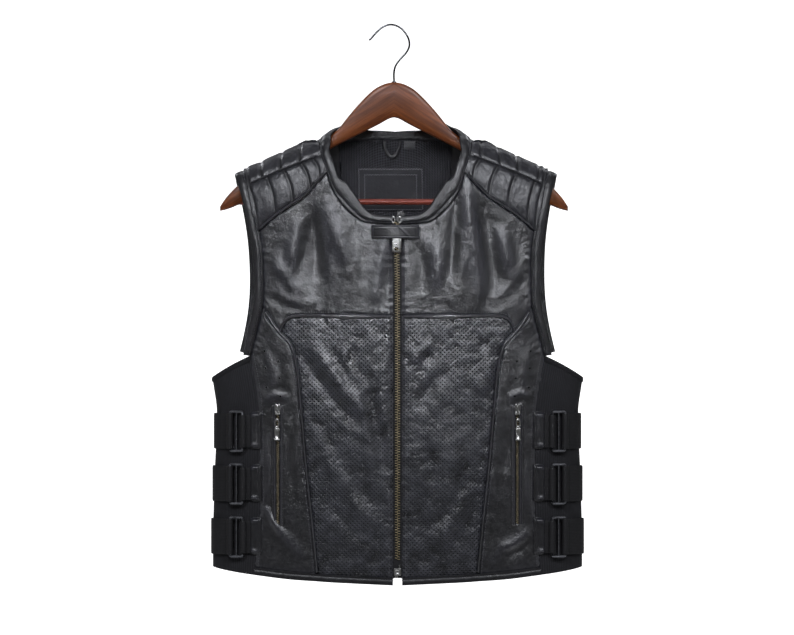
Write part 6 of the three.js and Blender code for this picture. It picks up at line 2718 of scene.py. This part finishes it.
@dataclass
class Hanger:
    """The wooden hanger, its bar and its wire hook."""

    x: float = 3.9
    thick: float = 12.5
    arm: Rows = (
        (0, -73.3, -118.2), (8, -74.2, -121.6), (15.6, -76.9, -126.4), (24, -81.2, -130.8),
        (31.2, -87, -134.4), (45.5, -101.5, -141.4), (58.5, -116.6, -148), (74.8, -137.8, -156.3),
        (95, -151.3, -167.5), (130, -168.6, -189.5), (165, -186, -211.4), (195.8, -202.8, -230.6),
        (209, -213, -236.2), (219, -224.2, -239.6), (226, -235, -241),
    )
    bar_z: float = -229.3
    bar_radius: float = 3.8
    bar_reach: float = 201.0
    collar_z: float = -73.2
    wire: float = 1.3
    hook: tuple[Edge, ...] = (
        (-28.6, -19.4), (-24.7, -15.5), (-19.5, -9.6), (-10.4, -1.8), (0, 1.3), (10.4, -1.8), (17.6, -8.3),
        (22.8, -17.4), (23.8, -26.5), (19.5, -35.6), (11.7, -44.1), (5.9, -52.5), (3.9, -61), (3.9, -72),
        (3.9, -85),
    )

    def build(self, finishes: Finishes) -> None:
        """Build and dress the hanger.

        Args:
            finishes: The finishes to dress with.
        """
        reach = np.concatenate([np.linspace(0, 205, 70), np.linspace(207, 226, 14)])
        reach = np.concatenate([-reach[:0:-1], reach])
        away = np.abs(reach)
        table = np.array(self.arm)
        top, bottom = (np.interp(away, table[:, 0], table[:, k]) for k in (1, 2))
        smooth = np.array([0.25, 0.5, 0.25])
        for _ in range(4):
            top[1:-1] = np.convolve(top, smooth, "valid")
            bottom[1:-1] = np.convolve(bottom, smooth, "valid")
        turn = np.linspace(0, math.tau, 40, endpoint=False)
        c, s = np.cos(turn), np.sin(turn)
        y = np.sign(c) * np.abs(c) ** 0.6 * self.thick / 2
        z = np.sign(s) * np.abs(s) ** 0.7
        ends = 1 - 0.25 * np.clip((away - 215) / 11, 0, 1)
        rings = np.empty((len(reach), len(turn), 3))
        rings[..., 0] = (self.x + reach)[:, None]
        rings[..., 1] = y[None, :] * ends[:, None]
        rings[..., 2] = ((top + bottom) / 2)[:, None] + z[None, :] * ((top - bottom) / 2)[:, None]
        wood = tube("hanger_body", rings, None, False, 60.0)
        place_piece(wood, finishes.mahogany, ["hanger_wood"])
        bar = rod("hanger_dowel", (self.x, 0, self.bar_z), self.bar_radius, 2 * self.bar_reach, "X", 32)
        round_edges(bar, 0.5, 2)
        place_piece(bar, finishes.redwood, ["hanger_bar"])
        self.wire_hook(finishes)

    def wire_hook(self, finishes: Finishes) -> None:
        """Build the hook: one wire bent round, with a rounded tip and a collar.

        Args:
            finishes: The finishes to dress with.
        """
        route = resample(spline(np.array(self.hook, dtype=float)), 150)
        way = ways(route)
        turn = np.linspace(0, math.tau, 16, endpoint=False)
        round_tip = np.sqrt(np.clip(1 - (1 - np.clip(along(route) / self.wire, 0, 1)) ** 2, 0.02, 1))
        rings = np.empty((len(route), len(turn), 3))
        for k, angle in enumerate(turn):
            reach = self.wire * round_tip * math.cos(angle)
            rings[:, k, 0] = route[:, 0] - way[:, 1] * reach
            rings[:, k, 1] = self.wire * round_tip * math.sin(angle)
            rings[:, k, 2] = route[:, 1] + way[:, 0] * reach
        wire = tube("wire_hook", rings)
        collar = ring("collar", (self.x, 0, self.collar_z), 2.2, 0.8, 1.0, (0.0, 0.0, 0.0))
        place_piece(join_pieces("wire_hook", [wire, collar]), finishes.chrome, ["hook"])


# Sewing and punched holes


def beside(line: Grid, off: float) -> Grid:
    """Move a line of surface points sideways.

    Args:
        line: The line as (u, w).
        off: How far it moves, in mm, to the left of its way.

    Returns:
        The moved line.
    """
    return line + leftward(ways(line)) * off


def on_front(u: Grid, z: Grid) -> Grid:
    """A line of heights on the front as surface points."""
    return np.stack([u, BODY.run(u, z, Sheet.FRONT)], axis=1)


@dataclass
class Stitching:
    """The visible rows of lockstitch, each stitch a small raised oval."""

    length: float = 2.5
    thick: float = 0.85
    pitch: float = 3.4
    zip_u: float = 10.6
    from_piping: float = 4.0
    from_seam: float = 4.6
    front_ends: Edge = (-266.0, -712.0)
    binding_lift: float = 1.0
    hem_lift: float = 0.65
    pocket_u: float = 154.5
    pocket_off: float = 6.3
    pocket_ends: Edge = (-494.0, -647.0)
    pocket_lift: float = 0.85
    relief: Relief = field(default_factory=leather_relief)

    def lay(self, line: Grid, side: int, lift: Optional[float] = None) -> Frames:
        """Lay stitches down a line.

        Args:
            line: The line as surface points, for the right side.
            side: The side that it is laid on.
            lift: Its lift off the surface, or none to follow the creased leather.

        Returns:
            The stitches' origins and their axes along, across and out.
        """
        steps = max(int(along(line)[-1] / self.pitch), 2)
        spots = resample(line, steps)
        u, w = spots[:, 0] * side, spots[:, 1]
        height = self.relief.lift(u, w) - 0.05 if lift is None else lift
        return surface_frames(u, w, height)

    def leather_rows(self) -> list[Grid]:
        """The rows on the leather panels, for the right side.

        Returns:
            Each row as surface points.
        """
        rows = [on_front(np.full(150, self.zip_u), np.linspace(*self.front_ends, 150))]
        rows.append(beside(SEAMS.line(SEAMS.yoke, 80), self.from_piping))
        princess = joined(SEAMS.line(SEAMS.princess_low, 150), SEAMS.line(SEAMS.princess_high, 20))
        rows.append(beside(princess, -self.from_piping))
        rows.append(beside(SEAMS.line(SEAMS.side_front, 120), self.from_seam))
        rows.append(beside(SEAMS.line(SEAMS.side_back, 120), self.from_seam))
        rows.append(beside(SEAMS.line(SEAMS.lower_shoulder, 60), -self.from_piping))
        rows.append(beside(SEAMS.line(SEAMS.rear_shoulder, 60), self.from_piping))
        return rows

    def strip_rows(self) -> list[tuple[Grid, float]]:
        """The rows on the bindings and hems with their lifts, for the right side.

        Returns:
            Each row as surface points, with its lift.
        """
        rows = []
        for edge, seam in (SEAMS.neck_lines(7), SEAMS.arm_lines(150)):
            rows.append((edge + (seam - edge) * 0.8, self.binding_lift))
        drop = SEAMS.hem_strip
        ahead = joined(SEAMS.line(SEAMS.hem_inner, 70, drop), SEAMS.line(SEAMS.hem_outer, 60, drop))
        rows.append((ahead + np.array([0.0, -drop * 0.3]), self.hem_lift))
        rows.append((SEAMS.line(SEAMS.hem_back, 110, drop) + np.array([0.0, drop * 0.3]), self.hem_lift))
        for way in (-1, 1):
            across = np.full(60, self.pocket_u + way * self.pocket_off)
            rows.append((on_front(across, np.linspace(*self.pocket_ends, 60)), self.pocket_lift))
        return rows

    def build(self, finishes: Finishes) -> None:
        """Build and dress the sewing of each side.

        Args:
            finishes: The finishes to dress with.
        """
        stitch = stitch_template(self.length, self.thick)
        for side in Side:
            laid = [self.lay(line, side.value) for line in self.leather_rows()]
            laid += [self.lay(line, side.value, lift) for line, lift in self.strip_rows()]
            joined_rows = [np.concatenate(parts) for parts in zip(*laid)]
            sewing = stitch.laid(f"sewing_{side.tag}", *joined_rows)
            place_piece(sewing, finishes.thread)


@dataclass
class VentHoles:
    """Six punched holes under each arm."""

    places: tuple[Edge, ...] = (
        (171.9, -423), (154.2, -436), (170.8, -445), (152.6, -458), (169.4, -470), (151.1, -481.5)
    )
    radius: float = 1.5
    rim_wire: float = 0.42
    hole_deep: float = 0.5
    proud: float = 0.1
    relief: Relief = field(default_factory=leather_relief)

    def build(self, finishes: Finishes) -> None:
        """Build the pressed rims, and inside them dark plugs: painted shade for the holes, which are not cut.

        Args:
            finishes: The finishes to dress with.
        """
        spots = np.array(self.places)
        spots = np.concatenate([spots, spots * (-1, 1)])
        lift = self.relief.lift(spots[:, 0], BODY.run(spots[:, 0], spots[:, 1], Sheet.FRONT))
        rim = template_in_mm(ring("rim", (0, 0, 0), self.radius, self.rim_wire, 1.0, (0.0, 0.0, 0.0)))
        hole = template_in_mm(rod("hole", (0, 0, 0), self.radius, self.hole_deep, "Z", 14))
        rims = rim.laid("vent_rims", *upright_frames(spots, lift + self.proud))
        place_piece(rims, finishes.trim)
        # Painted shade: dark plugs where the holes would be.
        holes = hole.laid("vent_holes", *upright_frames(spots, lift - self.proud))
        place_piece(holes, finishes.hollow)


# Sheet cuts, whose trimmings are looked up by name


@dataclass(frozen=True)
class Cut:
    """One sheet's cut: its flat size in metres, the share of it that its shape fills, and its trimmings."""

    piece: str
    flat: Edge
    share: float
    hold: Hold
    rests_on: tuple[str, ...] = ("hanger_wood",)
    trims: tuple[str, ...] = ()


@dataclass(frozen=True)
class PatternSheet:
    """The cuts of all the sheets, of both sides and of each strap."""

    middle: tuple[Cut, ...] = (
        Cut("back_panel", (0.42, 0.58), 0.85, Hold.HUNG, trims=(
            "neck_binding_strip", "hem_back_strip", "armhole_strip_left", "armhole_strip_right",
            "rear_shoulder_piping_left", "rear_shoulder_piping_right",
        )),
        Cut("back_neck_lining", (0.28, 0.26), 0.8, Hold.HUNG, ("back_panel",),
            ("size_tab_bare", "hang_loop_strip")),
        Cut("label_patch_bare", (0.086, 0.056), 1.0, Hold.STRETCHED, ("back_neck_lining",),
            ("label_border_sewing",)),
    )
    sides: tuple[Cut, ...] = (
        Cut("front_upper_panel_{}", (0.18, 0.20), 0.8, Hold.HUNG, trims=(
            "yoke_piping_{}", "lower_shoulder_piping_{}", "upper_shoulder_piping_{}",
        )),
        Cut("front_lower_panel_{}", (0.15, 0.345), 0.8, Hold.HUNG,
            trims=("hem_front_{}_strip", "pocket_welt_{}")),
        Cut("side_front_panel_{}", (0.085, 0.36), 0.8, Hold.HUNG, trims=("princess_piping_{}",)),
        Cut("stretch_panel_{}", (0.20, 0.28), 0.8, Hold.STRETCHED, (), ("underarm_fold_{}",)),
    )
    straps: tuple[Cut, ...] = (
        Cut("elastic_strap_{}", (0.046, 0.16), 1.0, Hold.STRETCHED, ("buckle_frame_{}",),
            ("strap_tab_{}", "buckle_keeper_{}")),
    )

    def declare(self, cut: Cut, tag: str) -> None:
        """Look up the objects of one sheet's trimmings by name, for one side or strap.

        Args:
            cut: The sheet's cut.
            tag: The side's word, or the strap's.
        """
        [name.format(tag) for name in cut.rests_on]
        [bpy.data.objects[name.format(tag)] for name in cut.trims]

    def build(self, finishes: Finishes) -> None:
        """Look up every sheet's trimmings; the finishes are already on them.

        Args:
            finishes: Not used.
        """
        for cut in self.middle:
            self.declare(cut, "")
        for side in Side:
            for cut in self.sides:
                self.declare(cut, side.tag)
            for cut in self.straps:
                for number in (1, 2, 3):
                    self.declare(cut, f"{side.tag}_{number}")


# Studio


@dataclass
class Softbox:
    """A large soft light: its place, size and power, where it looks, and its beam in degrees."""

    place: tuple[float, float, float]
    size: Edge
    power: float
    aim: tuple[float, float, float] = (0.0, 0.0, -0.38)
    beam: float = 180.0


@dataclass
class Studio:
    """The pale floor and backdrop, the soft lights and the camera."""

    floor_z: float = -1.45
    back_y: float = 7.0
    depth: float = 7.7
    width: float = 5.0
    bend: float = 0.8
    wall_high: float = 3.6
    wall_from: float = 6.3
    camera_away: float = 6.0
    photo_mm: Edge = (1032.2, 825.5)
    photo_centre: Edge = (0.0078, -0.3795)
    sensor_mm: float = 36.0
    boxes: tuple[Softbox, ...] = (
        Softbox((-0.9, -2.4, 1.5), (0.7, 0.7), 64.0, (0.0, 0.0, -0.25)),
        Softbox((1.1, -2.4, 1.4), (0.6, 0.7), 58.0, (0.0, 0.0, -0.25)),
        Softbox((-2.2, -1.2, -0.3), (0.4, 1.8), 3.0),
        Softbox((2.2, -1.2, -0.3), (0.4, 1.8), 3.0),
        Softbox((0.0, -2.8, 0.4), (0.4, 0.3), 0.22, (0.0, 0.0, -0.32), 12.0),
        Softbox((-1.7, 1.6, 1.3), (0.5, 0.6), 18.0),
        Softbox((1.4, 1.7, 1.2), (0.6, 0.6), 9.0),
        Softbox((0.0, 0.7, 1.6), (1.6, 0.6), 12.0, (0.0, 0.0, -0.1)),
    )
    tint: tuple[float, float, float] = (0.92, 0.94, 1.0)
    world_strength: float = 0.15

    def backdrop(self, finishes: Finishes) -> None:
        """Build the floor and the backdrop in one bent sweep.

        Args:
            finishes: The finishes to dress with.
        """
        bpy.ops.object.select_all(action="DESELECT")
        centre = (0.0, self.back_y - self.depth / 2, self.floor_z)
        bpy.ops.mesh.primitive_plane_add(size=1.0, location=centre)
        sweep = bpy.context.object
        sweep.name = "studio_sweep"
        sweep.scale = (self.width, self.depth, 1.0)
        settle(sweep)
        far = [v.index for v in sweep.data.vertices if v.co.y > self.back_y - 0.01]
        unselect_form(sweep)
        for edge in sweep.data.edges:
            edge.select = all(k in far for k in edge.vertices)
        bpy.ops.object.mode_set(mode="EDIT")
        bpy.ops.mesh.select_mode(type="EDGE")
        bpy.ops.mesh.extrude_region_move(TRANSFORM_OT_translate={"value": (0.0, 0.0, self.wall_high)})
        bpy.ops.object.mode_set(mode="OBJECT")
        corner = [
            e.index for e in sweep.data.edges
            if all(sweep.data.vertices[k].co.y > self.back_y - 0.01
                   and abs(sweep.data.vertices[k].co.z - self.floor_z) < 0.01 for k in e.vertices)
        ]
        unselect_form(sweep)
        for index in corner:
            sweep.data.edges[index].select = True
        bpy.ops.object.mode_set(mode="EDIT")
        bpy.ops.mesh.bevel(offset=self.bend, segments=16, affect="EDGES")
        bpy.ops.object.mode_set(mode="OBJECT")
        soften(sweep, 60.0)
        sweep.data.materials.append(finishes.paint)
        sweep.data.materials.append(finishes.wall)
        for face in sweep.data.polygons:
            face.material_index = int(face.center.y > self.wall_from)

    def light(self) -> None:
        """Set the soft lights and the pale surroundings."""
        for number, box in enumerate(self.boxes):
            data = bpy.data.lights.new(f"softbox_{number}", "AREA")
            data.shape = "RECTANGLE"
            data.size, data.size_y = box.size
            data.energy = box.power
            data.spread = math.radians(box.beam)
            data.color = self.tint
            lamp = bpy.data.objects.new(f"softbox_{number}", data)
            lamp.location = box.place
            lamp.rotation_euler = (Vector(box.aim) - Vector(box.place)).to_track_quat("-Z", "Y").to_euler()
            bpy.context.collection.objects.link(lamp)
        world = bpy.data.worlds.new("pale_room")
        bpy.context.scene.world = world
        world.use_nodes = True
        world.node_tree.nodes["Background"].inputs["Color"].default_value = WHITE
        world.node_tree.nodes["Background"].inputs["Strength"].default_value = self.world_strength
        bpy.context.scene.view_settings.view_transform = "Standard"

    def aim_camera(self) -> None:
        """Stand the camera straight in front, at the picture's angle."""
        data = bpy.data.cameras.new("picture_camera")
        data.sensor_width = self.sensor_mm
        data.lens = self.sensor_mm * self.camera_away / (self.photo_mm[0] * MM)
        data.clip_end = 100.0
        camera = bpy.data.objects.new("picture_camera", data)
        camera.location = (self.photo_centre[0], -self.camera_away, self.photo_centre[1])
        camera.rotation_euler = (QUARTER_TURN, 0.0, 0.0)
        bpy.context.collection.objects.link(camera)
        bpy.context.scene.camera = camera

    def build(self, finishes: Finishes) -> None:
        """Build the studio.

        Args:
            finishes: The finishes to dress with.
        """
        self.backdrop(finishes)
        self.light()
        self.aim_camera()


def write_sizes() -> None:
    """Bring the scene's transforms up to date."""
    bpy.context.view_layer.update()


def main() -> None:
    """Build every sub-assembly in order."""
    logging.basicConfig(level=logging.INFO, format="%(name)s: %(message)s")
    finishes = Finishes()
    for part in ASSEMBLY:
        part().build(finishes)
    write_sizes()


ASSEMBLY = (
    FrontPanels, ShoulderQuilting, BackPanel, StretchSides, Bindings, CentreZip, PocketZips, SideStraps,
    InsideNeck, Stitching, VentHoles, Hanger, PatternSheet, Studio,
)

if __name__ == "__main__":
    main()
